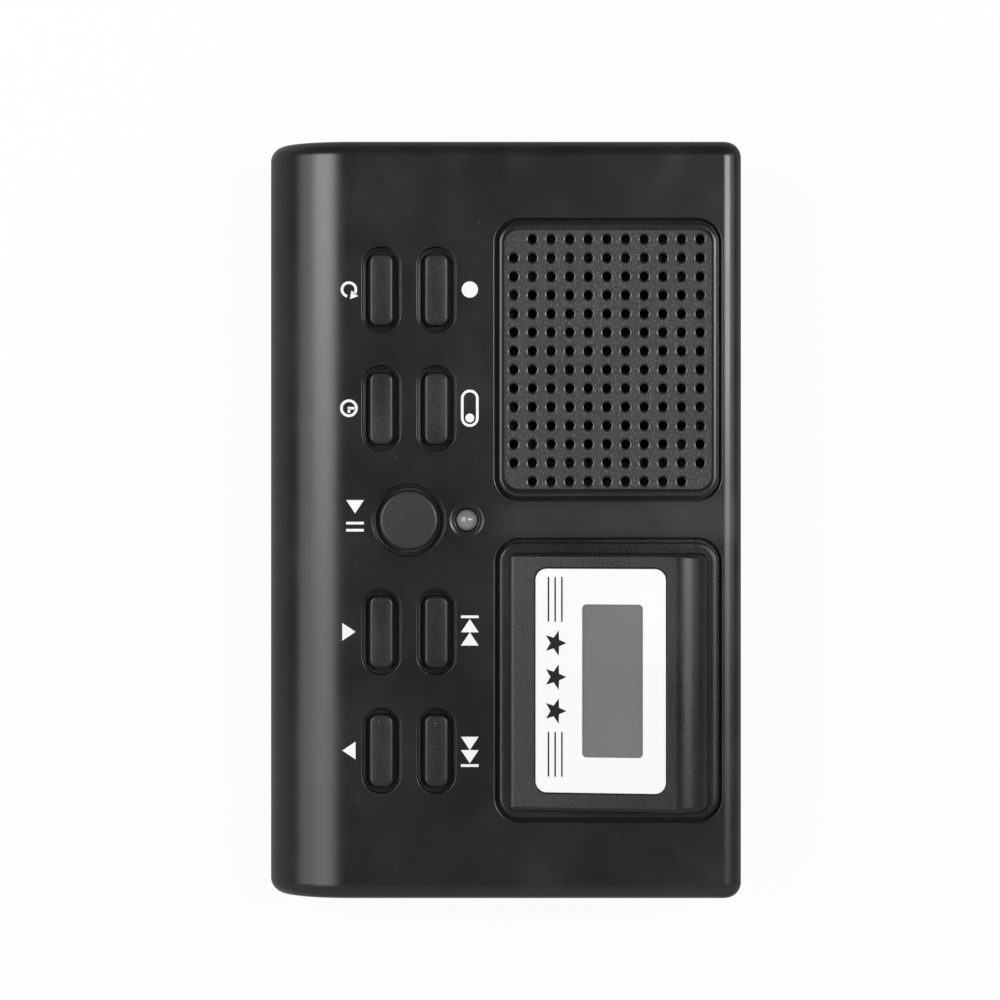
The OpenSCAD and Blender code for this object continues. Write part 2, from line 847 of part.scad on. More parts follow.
module led_leads() {
    color([0.7, 0.7, 0.7])
    translate([0, led_y, 0])
        for (sx = [-1, 1])
            box(sx * 1.27 / 2 - 0.25, sx * 1.27 / 2 + 0.25, -0.25, 0.25, board_top,
                case_top + led_proud - led_l);
}

module speaker_gasket() {
    color([0.12, 0.12, 0.12])
    translate([-insert_x, insert_y, 0])
        difference() {
            rod(spk_r, rim_z, roof_z);
            rod(spk_r - 2.4, rim_z - over, roof_z + over);
        }
}

module speaker_basket() {
    color([0.55, 0.56, 0.58])
    translate([-insert_x, insert_y, 0])
        rotate_extrude()
            polygon([
                [5, basket_z], [throat_r, basket_z], [spk_r - 2.5, rim_z - 1.1], [spk_r, rim_z - 1.1],
                [spk_r, rim_z - 0.3], [spk_r - 2.8, rim_z - 0.3], [throat_r - 0.3, basket_z + 0.8],
                [5, basket_z + 0.8]
            ]);
}

module speaker_cone() {
    z0 = basket_z + 1.4;
    color([0.15, 0.15, 0.15])
    translate([-insert_x, insert_y, 0])
        rotate_extrude()
            polygon([
                [0, z0 + 0.6], [4, z0], [spk_r - 4.5, rim_z - 0.3], [spk_r - 0.4, rim_z - 0.3],
                [spk_r - 0.4, rim_z], [spk_r - 4.8, rim_z], [4.6, z0 + 0.7], [3.4, z0 + 1.2],
                [1.8, z0 + 1.6], [0, z0 + 1.7]
            ]);
}

module speaker_magnet() {
    color([0.3, 0.3, 0.32])
    translate([-insert_x, insert_y, 0]) rod(magnet_r, basket_z - magnet_h, basket_z);
}

module speaker_leads() {
    color([0.7, 0.15, 0.12])
    translate([-insert_x + throat_r + 3.6, insert_y, 0])
        for (sy = [-1, 1])
            translate([0, sy * 1.5, 0]) rod(0.4, board_top, board_top + 1);
}

module rj_jack(x) {
    translate([x, 0, 0])
        difference() {
            box(-jack_w / 2, jack_w / 2, jack_y - jack_d, jack_y, jack_z, board_z);
            box(-plug_w / 2, plug_w / 2, jack_y - plug_d, jack_y + over, plug_z, plug_z + plug_h);
            box(-3.2, 3.2, jack_y - plug_d, jack_y + over, plug_z - latch_h, plug_z + over);
        }
}

module line_jack() {
    color([0.1, 0.1, 0.1]) rj_jack(jack_x);
}

module phone_jack() {
    color([0.1, 0.1, 0.1]) rj_jack(jack_x + jack_pitch);
}

// Four spring wires in the top of each line socket
module jack_contacts() {
    z = plug_z + plug_h - 0.9;
    color([0.85, 0.68, 0.3])
    for (i = [0, 1])
        for (k = [-1.5, -0.5, 0.5, 1.5])
            translate([jack_x + i * jack_pitch + k * 1.02, 0, 0])
                box(-0.2, 0.2, jack_y - plug_d, jack_y - plug_d + contact_l, z, z + 0.4);
}

module card_socket() {
    x0 = -in_x + 0.2;
    color([0.65, 0.66, 0.68])
    difference() {
        box(x0, x0 + card_d, card_y - card_w / 2 - 1.5, card_y + card_w / 2 + 1.5, card_z, board_z);
        box(x0 - over, x0 + card_d - 1.5, card_y - card_w / 2, card_y + card_w / 2, card_z + 0.3,
            board_z - 0.3);
    }
}

module power_jack() {
    color([0.08, 0.08, 0.08])
    difference() {
        box(-power_x - power_w / 2, -power_x + power_w / 2, jack_y - power_d, jack_y,
            socket_z - power_r - 1, board_z);
        translate([-power_x, jack_y - power_bore, socket_z])
            rotate([-90, 0, 0]) cylinder(h = power_bore + over, r = power_r);
    }
}

module power_pin() {
    color([0.75, 0.76, 0.78])
    translate([-power_x, jack_y - power_bore, socket_z])
        rotate([-90, 0, 0]) cylinder(h = power_bore - 0.5, r = pin_r);
}

module earphone_jack() {
    x0 = -in_x + 0.2;
    color([0.08, 0.08, 0.08])
    difference() {
        union() {
            box(x0, x0 + ear_d, ear_y - ear_w / 2, ear_y + ear_w / 2, socket_z - ear_r - 1.4, board_z);
            translate([-case_l / 2, ear_y, socket_z])
                rotate([0, 90, 0]) cylinder(h = wall + over, r = ear_r + 1.2);
        }
        translate([-case_l / 2 - over, ear_y, socket_z])
            rotate([0, 90, 0]) cylinder(h = ear_d + over, r = ear_r);
    }
}

module main_chip() {
    color([0.08, 0.08, 0.08])
    translate([insert_x, insert_y + 6, 0])
        box(-chip_l / 2, chip_l / 2, -chip_l / 2, chip_l / 2, board_top, board_top + chip_h);
}

module memory_chip() {
    color([0.08, 0.08, 0.08])
    translate([insert_x - chip_l / 2 - memory_w, insert_y + 6, 0])
        box(-memory_w / 2, memory_w / 2, -memory_l / 2, memory_l / 2, board_top, board_top + chip_h);
}

module line_transformer() {
    color([0.75, 0.6, 0.2])
    translate([right_x, coil_y, 0])
        difference() {
            box(-coil_w / 2, coil_w / 2, -coil_l / 2, coil_l / 2, board_z - coil_h, board_z);
            box(-core_w / 2 - 0.1, core_w / 2 + 0.1, -coil_l, coil_l, core_z - 0.1, core_z + core_h + 0.1);
        }
}

module transformer_core() {
    color([0.25, 0.25, 0.27])
    translate([right_x, coil_y, 0])
        box(-core_w / 2, core_w / 2, -coil_l / 2 - 0.6, coil_l / 2 + 0.6, core_z, core_z + core_h);
}

module capacitors() {
    color([0.1, 0.12, 0.3])
    for (p = [[0, 0], [1, 0], [0, 1]])
        translate([cap_x - p[0] * cap_pitch, p[1] * cap_pitch, 0])
            rod(cap_r, board_z - cap_h, board_z);
}

module crystal() {
    color([0.75, 0.76, 0.78])
    translate([0, insert_y - 9, 0])
        plate(crystal_w, crystal_l, crystal_w / 2 - 0.1, board_top, board_top + crystal_h);
}

module battery_cells() {
    r = cell_d / 2;
    color([0.2, 0.35, 0.3])
    for (i = [0 : CELLS - 1])
        translate([0, bay_y0 + cell_gap + r + i * cell_pitch, cell_z + r])
            rotate([0, i == 1 ? -90 : 90, 0]) {
                translate([0, 0, -cell_l / 2]) cylinder(h = cell_l - 0.8, r = r);
                translate([0, 0, cell_l / 2 - 1.2]) cylinder(h = 1.2, r = 1.9);
            }
}

// Leaf and stud at both ends of each cell
module battery_contacts() {
    r = cell_d / 2;
    color([0.75, 0.76, 0.78])
    for (i = [0 : CELLS - 1])
        for (sx = [-1, 1])
            translate([0, bay_y0 + cell_gap + r + i * cell_pitch, cell_z + r])
                {
                    box(sx < 0 ? -bay_x : bay_x - 0.5, sx < 0 ? 0.5 - bay_x : bay_x, -leaf_w / 2, leaf_w / 2, -leaf_w / 2, leaf_w / 2);
                    translate([sx < 0 ? -bay_x + 0.3 : cell_l / 2, 0, 0])
                        rotate([0, 90, 0]) cylinder(h = cell_end - 0.3, r = 1.6);
                }
}

top_shell();
bottom_shell();
speaker_grille();
display_bezel();
display_label();
display_window();
battery_door();
rubber_feet();
case_screws();
replay_key();
record_key();
timer_key();
mode_key();
play_key();
up_key();
down_key();
previous_key();
next_key();
key_mat();
main_board();
board_screws();
lcd_panel();
lcd_backlight();
lcd_ribbon();
led_lamp();
led_leads();
speaker_basket();
speaker_cone();
speaker_magnet();
speaker_gasket();
speaker_leads();
line_jack();
phone_jack();
jack_contacts();
card_socket();
power_jack();
power_pin();
earphone_jack();
main_chip();
memory_chip();
line_transformer();
transformer_core();
capacitors();
crystal();
battery_cells();
battery_contacts();
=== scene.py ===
"""Dresses the telephone call recorder: case, keys, grille, sloped display, lamp and fittings.

Everything is in metres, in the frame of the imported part. +X is right, +Y is back, +Z is up.
"""
import math

import bmesh
import bpy
import numpy as np
from mathutils.geometry import delaunay_2d_cdt
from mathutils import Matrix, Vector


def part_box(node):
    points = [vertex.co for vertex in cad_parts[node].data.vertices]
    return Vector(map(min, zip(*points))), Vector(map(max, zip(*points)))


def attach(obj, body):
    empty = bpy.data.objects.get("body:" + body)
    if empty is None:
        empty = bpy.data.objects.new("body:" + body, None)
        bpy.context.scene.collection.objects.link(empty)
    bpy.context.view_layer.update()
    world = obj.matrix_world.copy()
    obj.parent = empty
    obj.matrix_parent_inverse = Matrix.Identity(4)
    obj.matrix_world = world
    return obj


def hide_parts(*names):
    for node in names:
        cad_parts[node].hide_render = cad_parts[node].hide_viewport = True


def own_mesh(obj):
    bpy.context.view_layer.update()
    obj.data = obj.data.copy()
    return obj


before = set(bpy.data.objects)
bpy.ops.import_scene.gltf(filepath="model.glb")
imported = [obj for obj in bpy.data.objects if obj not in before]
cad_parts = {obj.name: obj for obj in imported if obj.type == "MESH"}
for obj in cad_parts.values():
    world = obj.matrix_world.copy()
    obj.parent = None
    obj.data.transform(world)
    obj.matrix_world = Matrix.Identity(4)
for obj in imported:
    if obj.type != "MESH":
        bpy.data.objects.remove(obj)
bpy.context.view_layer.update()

bl_info = {
    "name": "Telephone call recorder",
    "version": (1, 0, 0),
    "blender": (4, 5, 0),
    "location": "3D View > Sidebar > Recorder",
    "description": "Builds the pieces, finishes and stage of a telephone call recorder",
    "category": "Object",
}

MM = 0.001
# Steps of a quarter circle, and the distance within which points are merged
TURN = 14
MERGE = 0.002 * MM
# Angles past which an edge stays sharp, within which a corner takes the normal of the flat beside it,
# within which triangles are one face, and past which an edge of a node is softened
SHARP = math.radians(38)
BESIDE_FLAT = math.radians(25)
ONE_FACE = math.radians(0.5)
SOFTENED = math.radians(40)

# Finishes are named apart from the plain materials that come with the frame
FINISH = "finish_"
FRONT_KEYS = ("replay", "timer", "up", "down")
BACK_KEYS = ("record", "mode", "previous", "next")
LONG_KEYS = FRONT_KEYS + BACK_KEYS
KEYS = LONG_KEYS + ("play",)

# How far each insert sits from the middle of its solid, and how much smaller it is, in millimetres
INSERT_STEP = {"speaker_grille": (-0.1, 0.16), "display_bezel": (0.0, 0.2)}
INSERT_TRIM = {"speaker_grille": (0.2, 0.14), "display_bezel": (0.0, 0.16)}

# Colours of painted glints on grain tips and of pale films, of smudges and of dust; how much a smudge shows,
# and how much it dulls
PALE = (0.5, 0.5, 0.5, 1.0)
SMUDGE = (0.3, 0.3, 0.3, 1.0)
DUST = (0.42, 0.41, 0.39, 1.0)
SMUDGE_SHOWS = 0.1
SMUDGE_DULLS = 0.05


def length(size, name, text):
    """A size that the panel shows, given in millimetres."""
    return bpy.props.FloatProperty(
        name=name, description=text, default=size * MM, min=0.0,
        subtype="DISTANCE", unit="LENGTH", precision=5)


def colour(red, green, blue, name, text):
    """A colour that the panel shows, in linear light."""
    return bpy.props.FloatVectorProperty(
        name=name, description=text, default=(red, green, blue), min=0.0, max=1.0,
        size=3, subtype="COLOR")


class RecorderSizes(bpy.types.PropertyGroup):
    """Sizes of the pieces that the frame doesn't give by itself."""
    front_run: length(12.5, "Front run", "Depth over which the front edge curves down")
    front_drop: length(10.5, "Front drop", "Height over which the front edge curves down")
    back_radius: length(2.9, "Back radius", "Radius of the long back edge")
    end_radius: length(2.4, "End radius", "Radius around both ends of the case")
    wall: length(2.0, "Wall", "Thickness of the side walls")
    roof: length(2.2, "Roof", "Thickness of the roof")
    seam: length(0.2, "Seam", "Softened edge along the parting line")
    lip: length(0.25, "Lip", "Softened edge of the openings in the roof")
    fit: length(0.15, "Fit", "Gap around a fixed piece")
    key_gap: length(0.35, "Key gap", "Gap between a key and its hole")
    key_edge: length(0.5, "Key edge", "Rounding around the top of a key")
    key_draft: length(0.1, "Key draft", "How much narrower a key is at its top, on each side")
    key_crown: length(0.06, "Key crown", "Rise of a key's top towards its middle")
    key_corner: length(1.35, "Key corner", "Corner radius of a long key")
    flange: length(0.9, "Key flange", "Width of the flange beside a key")
    flange_height: length(1.0, "Flange height", "Thickness of a key flange")
    well_lip: length(0.15, "Well lip", "Softened edge of a key well")
    ledge: length(0.6, "Well ledge", "Width of the ledge around a key")
    ledge_depth: length(1.9, "Well depth", "Depth of the ledge around a key")
    dish: length(2.5, "Lamp dish", "Radius of the dish around the lamp")
    dish_depth: length(0.08, "Lamp dish depth", "Depth of the dish around the lamp")
    lamp_flange: length(0.35, "Lamp flange", "Width of the foot of the lamp")
    insert_corner: length(3.55, "Insert corner", "Corner radius of the grille and the display hood")
    insert_seat: length(1.6, "Insert seat", "Ledge of the roof under the rim of an insert")
    insert_depth: length(1.4, "Insert depth", "Depth of an insert in the roof")
    rim_end: length(1.65, "Rim at the ends", "Width of the grille's raised rim at its ends")
    rim_side: length(1.27, "Rim at the sides", "Width of the grille's raised rim along its sides")
    rim_height: length(0.35, "Rim height", "Height of the grille's rim above the roof")
    rim_sunk: length(1.3, "Rim ledge depth", "Depth of the ledge outside the rim below the roof")
    panel_drop: length(0.15, "Panel drop", "Drop of the panel inside the rim below the roof")
    sound_hole: length(0.68, "Sound hole", "Radius of a sound hole")
    sound_lip: length(0.26, "Sound hole lip", "Width of the sloped edge around a sound hole")
    sound_pitch: length(2.84, "Sound pitch", "Distance between sound holes")
    hump_ahead: length(2.25, "Room ahead", "From the front edge of the hood to the hump")
    hump_behind: length(1.5, "Room behind", "From the back edge of the hood to the hump")
    hump_left: length(2.1, "Room on the left", "From the left edge of the hood to the hump")
    hump_right: length(1.5, "Room on the right", "From the right edge of the hood to the hump")
    hood_rim: length(0.13, "Hood rim", "Height of the hood's rim above the roof")
    hood_panel: length(0.17, "Hood panel", "Height of the hood above the roof at the foot of the hump")
    hump_nose: length(1.15, "Hump nose", "Rounding along the front of the hump")
    hump_edge: length(0.8, "Hump edge", "Rounding around the ends of the hump")
    hump_corner: length(1.5, "Hump corner", "Rounding of the hump's back corners")
    hump_roll: length(4.69, "Hump roll", "Radius behind the sloped face")
    hump_front: length(0.6, "Hump front", "Height of the hump's front above the roof")
    hump_wall: length(1.6, "Hump wall", "Thickness of the wall of the hump")
    label_corner: length(1.7, "Label corner", "Corner radius of the label")
    label_proud: length(0.1, "Label height", "Height of the label above the slope")
    label_thick: length(0.2, "Label thickness", "Thickness of the label")
    window_thick: length(0.6, "Window thickness", "Thickness of the clear window")
    view_corner: length(0.65, "View corner", "Corner radius of the opening in the label")
    print_height: length(0.02, "Print height", "Thickness of the printed marks")
    mark_height: length(2.7, "Mark height", "Height of the marks beside the keys")
    mark_front: length(4.95, "Front marks", "Distance of the marks before the front row of keys")
    mark_back: length(5.1, "Back marks", "Distance of the marks behind the back row of keys")
    mark_play: length(8.2, "Play mark", "Distance of the mark before the round key")
    camera_distance: length(500.0, "Camera distance", "Height of the camera above the roof")
    frame_width: length(152.3, "Frame width", "Width of the picture at the roof")


class RecorderColours(bpy.types.PropertyGroup):
    """Colours of the finishes."""
    case: colour(0.011, 0.011, 0.0113, "Case", "Moulded black of the case")
    grille: colour(0.013, 0.013, 0.0133, "Grille", "Grained black of the speaker grille")
    key: colour(0.0065, 0.0065, 0.0067, "Keys", "Satin black of the keys")
    play: colour(0.024, 0.024, 0.0245, "Play key", "Greyer black of the round key")
    label: colour(0.84, 0.84, 0.835, "Label", "White of the display label")
    ink: colour(0.010, 0.010, 0.011, "Ink", "Dark print on the label")
    mark: colour(0.82, 0.82, 0.82, "Marks", "White print beside the keys")
    glass: colour(0.135, 0.137, 0.135, "Display", "Grey of the display when it is off")
    lamp: colour(0.21, 0.213, 0.21, "Lamp", "Milky body of the lamp")
    floor: colour(0.2, 0.2, 0.2, "Floor", "Pale floor of the stage")


def sizes():
    return bpy.context.scene.recorder_sizes


def colours():
    return bpy.context.scene.recorder_colours


def box(node):
    """Lowest and highest corner of a node, as arrays."""
    low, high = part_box(node)
    return np.array(low), np.array(high)


def plan(node):
    """Middle of a node in plan."""
    low, high = box(node)
    return ((low + high) / 2)[:2]


def roof_top():
    """Height of the roof."""
    return box("top_shell")[1][2]


def key_span(key):
    """Length and width of a key without its flange."""
    low, high = box(key + "_key")
    return (high - low)[:2] - 2 * sizes().flange


# Outlines and sections


def arc(middle, radius, start, end, steps=TURN):
    """Arc in a plane: middle + radius * (cos a, sin a), with a from start to end in degrees."""
    turn = np.radians(np.linspace(start, end, steps + 1))
    return np.array(middle) + radius * np.column_stack([np.cos(turn), np.sin(turn)])


def carried(section, long, wide, radius, middle=(0.0, 0.0)):
    """A section carried round a rounded rectangle: point (d, z) gives the outline grown by d at height z.

    The outline is corner centre + (radius + d) * (cos a, sin a) over four quarter turns. Where d takes
    more than the radius away, the corner centres move in instead. The result is a grid, section by outline.
    """
    section = np.asarray(section, float)
    turn = (np.arange(4)[:, None] * np.pi / 2 + np.linspace(0, np.pi / 2, TURN + 1)).ravel()
    corner = np.repeat([(1, 1), (-1, 1), (-1, -1), (1, -1)], TURN + 1, axis=0)
    grown = (radius + section[:, 0])[:, None, None]
    half = np.array([long / 2 - radius, wide / 2 - radius]) + np.minimum(grown, 0)
    way = np.column_stack([np.cos(turn), np.sin(turn)])
    place = corner * np.maximum(half, 0) + np.maximum(grown, 0) * way
    height = np.broadcast_to(section[:, 1][:, None, None], place.shape[:2] + (1,))
    return np.concatenate([place + np.asarray(middle), height], axis=2)


def spun(section, radius, middle=(0.0, 0.0)):
    """A section carried round a circle."""
    return carried(section, 2 * radius, 2 * radius, radius, middle)


def outline(long, wide, radius, grow=0.0):
    """Closed outline of a rounded rectangle about the origin, grown by a distance."""
    return carried([(grow, 0.0)], long, wide, radius)[0, :, :2]


# Patches: each is an array of points and an array of faces


def sheet(grid, closed=True):
    """Quads over a grid of points. Closed joins the last column to the first."""
    rows, columns = grid.shape[:2]
    row = np.arange(rows - 1)[:, None] * columns
    column = np.arange(columns if closed else columns - 1)[None, :]
    after = (column + 1) % columns
    faces = np.stack([row + column, row + after, row + columns + after, row + columns + column], axis=-1)
    return grid.reshape(-1, 3), faces.reshape(-1, 4)


def fill(loops, height=0.0):
    """Triangles of a flat face at a height: the first loop is its rim, and the others are holes in it."""
    ends = np.cumsum([len(loop) for loop in loops])
    rims = [list(range(end - len(loop), end)) for loop, end in zip(loops, ends)]
    found = delaunay_2d_cdt(np.concatenate(loops).tolist(), [], rims, 2, MERGE / 20)
    points = np.array(found[0]).reshape(-1, 2)
    return np.column_stack([points, np.full(len(points), height)]), np.array(found[2]).reshape(-1, 3)


def moved(patch, place):
    """A patch with a step added to its points."""
    return patch[0] + np.asarray(place), patch[1]


def repeated(patch, places):
    """Copies of a patch at each place, as one patch."""
    points, faces = patch
    places = np.asarray(places)
    copies = (points[None] + places[:, None]).reshape(-1, 3)
    shift = np.arange(len(places))[:, None, None] * len(points)
    return copies, (faces[None] + shift).reshape(-1, faces.shape[1])


def turned(patch, origin, axes):
    """A patch drawn in its own (x, y, z), set at an origin with the three axes as rows."""
    return patch[0] @ np.asarray(axes) + np.asarray(origin), patch[1]


def solid(section, long, wide, radius):
    """Closed solid: a section carried round an outline, with a flat face on its first and last ring."""
    grid = carried(section, long, wide, radius)
    ends = [fill([ring[:, :2]], ring[0, 2]) for ring in (grid[0], grid[-1])]
    return [sheet(grid)] + ends


def prism(loops, low, high):
    """Solid between two heights, with loops as its rim and holes."""
    walls = [sheet(np.stack([np.column_stack([loop, np.full(len(loop), z)]) for z in (low, high)]))
             for loop in loops]
    return walls + [fill(loops, low), fill(loops, high)]


def bar_section(low, front, back, lean, start=180):
    """Section across a rounded bar, from its front wall over the flat to its back wall.

    front and back are (centre, radii) of the arcs beside the flat, whose normal leans at lean degrees.
    The front arc begins at start degrees, and a wall joins it to low.
    An arc is centre + radii * (cos a, sin a), and its normal goes as (cos a, sin a) / radii.
    Gives the points, the outward normal of each, and the first and last index of the flat.
    """
    flat_steps = 8
    turns = [arc((0, 0), 1, start, lean), arc((0, 0), 1, lean, 0)]
    arcs = [np.array(middle) + np.array(radii) * turn for (middle, radii), turn in zip((front, back), turns)]
    ways = [turn / np.array(radii) for (_, radii), turn in zip((front, back), turns)]
    ways = [way / np.linalg.norm(way, axis=1)[:, None] for way in ways]
    share = np.linspace(0, 1, flat_steps + 1)[1:-1, None]
    flat = arcs[0][-1] * (1 - share) + arcs[1][0] * share
    points = np.concatenate([[(arcs[0][0][0], low)], arcs[0], flat, arcs[1], [(arcs[1][-1][0], low)]])
    normals = np.concatenate([[(-1, 0)], ways[0], np.repeat(ways[0][-1:], len(flat), 0), ways[1], [(1, 0)]])
    return points, normals, TURN + 1, TURN + 1 + flat_steps


def rounded_bar(section, half_x, end_radius, holes):
    """Skin of a bar along X whose ends are rounded: towards an end the section shrinks along its normals.

    At turn a of the end, x = half_x - r + r * sin a, and each point moves in by r * (1 - cos a).
    A point that would sink below the foot joins it. r is one radius, or one for each point of the section.
    holes are loops in the flat, as (x, distance along the flat from its front edge).
    """
    points, normals, first, last = section
    radius = np.broadcast_to(end_radius, len(points))
    turn = np.linspace(0, np.pi / 2, TURN + 1)[:, None]
    inset = radius * (1 - np.cos(turn))
    rows = points[None] - inset[:, :, None] * normals[None]
    rows = np.where(rows[:, :, 1:] < points[0, 1] - MERGE, rows[:, :1], rows)
    reach = half_x - radius * (1 - np.sin(turn))
    patches = []
    for side in (-1, 1):
        patches.append(sheet(np.concatenate([side * reach[:, :, None], rows], axis=2), closed=False))
        cap, faces = fill([rows[-1]])
        patches.append((np.column_stack([np.full(len(cap), side * half_x), cap[:, :2]]), faces))
    for part in (slice(first + 1), slice(last, None)):
        strip = np.stack([np.column_stack([side * reach[0, part], points[part]]) for side in (-1, 1)])
        patches.append(sheet(strip, closed=False))
    along = points[last] - points[first]
    flat = slice(first, last + 1)
    run = np.linalg.norm(points[flat] - points[first], axis=1)
    rim = np.concatenate([np.column_stack([-reach[0, flat], run]),
                          np.column_stack([reach[0, flat], run])[::-1]])
    flat, faces = fill([rim] + holes)
    place = points[first] + flat[:, 1:2] * along / np.linalg.norm(along)
    patches.append((np.column_stack([flat[:, 0], place]), faces))
    return patches


# Pieces


def mesh_from(name, patches):
    """One mesh of all patches, with shared edges merged and faces turned outwards.

    Filled flat faces carry material index 1.
    """
    counts = [len(points) for points, _ in patches]
    starts = np.cumsum([0] + counts[:-1])
    points = np.concatenate([points for points, _ in patches])
    corners = np.concatenate([(faces + start).ravel() for (_, faces), start in zip(patches, starts)])
    sides = np.concatenate([np.full(len(faces), faces.shape[1]) for _, faces in patches])
    mesh = bpy.data.meshes.new(name)
    mesh.vertices.add(len(points))
    mesh.vertices.foreach_set("co", points.astype(np.float32).ravel())
    mesh.loops.add(len(corners))
    mesh.loops.foreach_set("vertex_index", corners.astype(np.int32))
    mesh.polygons.add(len(sides))
    mesh.polygons.foreach_set("loop_start", (np.cumsum(sides) - sides).astype(np.int32))
    mesh.polygons.foreach_set("material_index", (sides == 3).astype(np.int32))
    mesh.update(calc_edges=True)
    work = bmesh.new()
    work.from_mesh(mesh)
    bmesh.ops.remove_doubles(work, verts=work.verts, dist=MERGE)
    bmesh.ops.recalc_face_normals(work, faces=work.faces)
    work.to_mesh(mesh)
    work.free()
    return mesh


def add_object(name, mesh):
    """An object of a mesh, put into the scene."""
    made = bpy.data.objects.new(name, mesh)
    bpy.context.scene.collection.objects.link(made)
    return made


def add_piece(name, patches, finish, body, nodes=(), cuts=(), flats=None, place=(0.0, 0.0)):
    """A piece of the object: its mesh, its finish, the body that it rides on and the nodes it stands for.

    cuts are boxes taken out of it, flats names a second finish for flat faces, and place moves it in plan.
    """
    patches = [moved(patch, (*place, 0.0)) for patch in patches]
    piece = add_object(name, mesh_from(name, patches))
    for low, high in cuts:
        cut_box(piece, low, high)
    shade(piece, flats)
    piece.data.materials.append(finished(finish))
    if flats:
        piece.data.materials.append(finished(flats))
    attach(piece, body)
    if nodes:
        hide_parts(*nodes)
    return piece


def shade(piece, flats=None):
    """Smooth faces, sharp past the set angle. Beside a flat face, a corner takes the flat's own normal."""
    mesh = piece.data
    mesh.shade_smooth()
    mesh.set_sharp_from_angle(angle=SHARP)
    sides = read(mesh.polygons, "loop_total", np.int32)
    flat = np.repeat(read(mesh.polygons, "material_index", np.int32) == 1, sides)
    face = np.repeat(read(mesh.polygons, "normal", np.float32).reshape(-1, 3), sides, axis=0)
    vertex = read(mesh.loops, "vertex_index", np.int32)
    normal = read(mesh.corner_normals, "vector", np.float32).reshape(-1, 3)
    led = np.zeros((len(mesh.vertices), 3))
    np.add.at(led, vertex[flat], face[flat])
    led /= np.maximum(np.linalg.norm(led, axis=1), 1e-9)[:, None]
    close = (normal * led[vertex]).sum(axis=1) > math.cos(BESIDE_FLAT)
    normal = np.where(close[:, None], led[vertex], normal)
    normal = np.where(flat[:, None], face, normal)
    if not flats:
        mesh.polygons.foreach_set("material_index", np.zeros(len(sides), np.int32))
    mesh.normals_split_custom_set(normal.tolist())


def read(items, name, kind):
    """An attribute of a mesh collection as a flat array."""
    values = np.empty(len(items) * (3 if kind is np.float32 else 1), kind)
    items.foreach_get(name, values)
    return values


def cut_box(piece, low, high):
    """Cuts a box out of a piece and keeps the result as its mesh."""
    span = np.array(high) - np.array(low)
    corner = 0.01 * MM
    shape = prism([outline(span[0], span[1], corner)], -span[2] / 2, span[2] / 2)
    cutter = add_object("cutter", mesh_from("cutter", shape))
    cutter.location = (np.array(low) + np.array(high)) / 2
    cut = piece.modifiers.new("Cut", "BOOLEAN")
    cut.object = cutter
    bpy.context.view_layer.update()
    mesh = bpy.data.meshes.new_from_object(piece.evaluated_get(bpy.context.evaluated_depsgraph_get()))
    old = piece.data
    piece.modifiers.clear()
    piece.data = mesh
    bpy.data.meshes.remove(old)
    bpy.data.objects.remove(cutter)


def dress(node, finish, soft=0.0):
    """A node keeps its own mesh: loose triangles are joined, edges softened, and it gets a finish."""
    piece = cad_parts[node]
    joined = piece.modifiers.new("Joined", "WELD")
    joined.merge_threshold = MERGE
    faces = piece.modifiers.new("Faces", "DECIMATE")
    faces.decimate_type = "DISSOLVE"
    faces.angle_limit = ONE_FACE
    if soft:
        edges = piece.modifiers.new("Edges", "BEVEL")
        edges.width = soft * MM
        edges.segments = 2
        edges.limit_method = "ANGLE"
        edges.angle_limit = SOFTENED
    normals = piece.modifiers.new("Face normals", "WEIGHTED_NORMAL")
    normals.keep_sharp = True
    for place in piece.material_slots:
        place.link = "OBJECT"
        place.material = finished(finish)


# Finishes


def feed(tree, socket, value):
    """Gives an input a value, or a link where the value is a socket."""
    if isinstance(value, bpy.types.NodeSocket):
        tree.links.new(value, socket)
    else:
        socket.default_value = value


def add(tree, kind, inputs=None, **settings):
    """A node with its settings and inputs."""
    made = tree.nodes.new(kind)
    for name, value in settings.items():
        setattr(made, name, value)
    for name, value in (inputs or {}).items():
        feed(tree, made.inputs[name], value)
    return made


def maths(tree, operation, *values):
    """Result of a math node on values or sockets."""
    return add(tree, "ShaderNodeMath", dict(enumerate(values)), operation=operation).outputs[0]


def blend(tree, factor, first, second):
    """Mix of two colours by a factor."""
    made = add(tree, "ShaderNodeMix", data_type="RGBA")
    for name, value in (("Factor_Float", factor), ("A_Color", first), ("B_Color", second)):
        feed(tree, next(s for s in made.inputs if s.identifier == name), value)
    return next(s for s in made.outputs if s.identifier == "Result_Color")


def tint(tree, mask, over):
    """Lays a colour over the base colour that a material already has, by a mask."""
    shader = tree.nodes["Principled BSDF"]
    under = shader.inputs["Base Color"].links[0].from_socket
    tree.links.new(blend(tree, mask, under, over), shader.inputs["Base Color"])


def ranged(tree, value, low, high, start=0.0, end=1.0):
    """A value mapped from start..end to low..high, held at the limits."""
    return add(tree, "ShaderNodeMapRange", {
        "Value": value, "From Min": start, "From Max": end, "To Min": low, "To Max": high}).outputs[0]


def noise(tree, place, scale, **shape):
    """Value of a noise, with its scale per metre."""
    inputs = {name.title(): value for name, value in shape.items()}
    return add(tree, "ShaderNodeTexNoise", {"Vector": place, "Scale": scale, **inputs}).outputs[0]


def group_with(name, inputs, outputs):
    """An empty node group: its tree, the sockets it is given and those it gives, and Object coordinates."""
    tree = bpy.data.node_groups.new(name, "ShaderNodeTree")
    for socket, default in inputs:
        made = tree.interface.new_socket(socket, in_out="INPUT", socket_type="NodeSocketFloat")
        made.default_value = default
    for socket in outputs:
        tree.interface.new_socket(socket, in_out="OUTPUT", socket_type="NodeSocketFloat")
    place = add(tree, "ShaderNodeTexCoord").outputs["Object"]
    return tree, add(tree, "NodeGroupInput").outputs, add(tree, "NodeGroupOutput").inputs, place


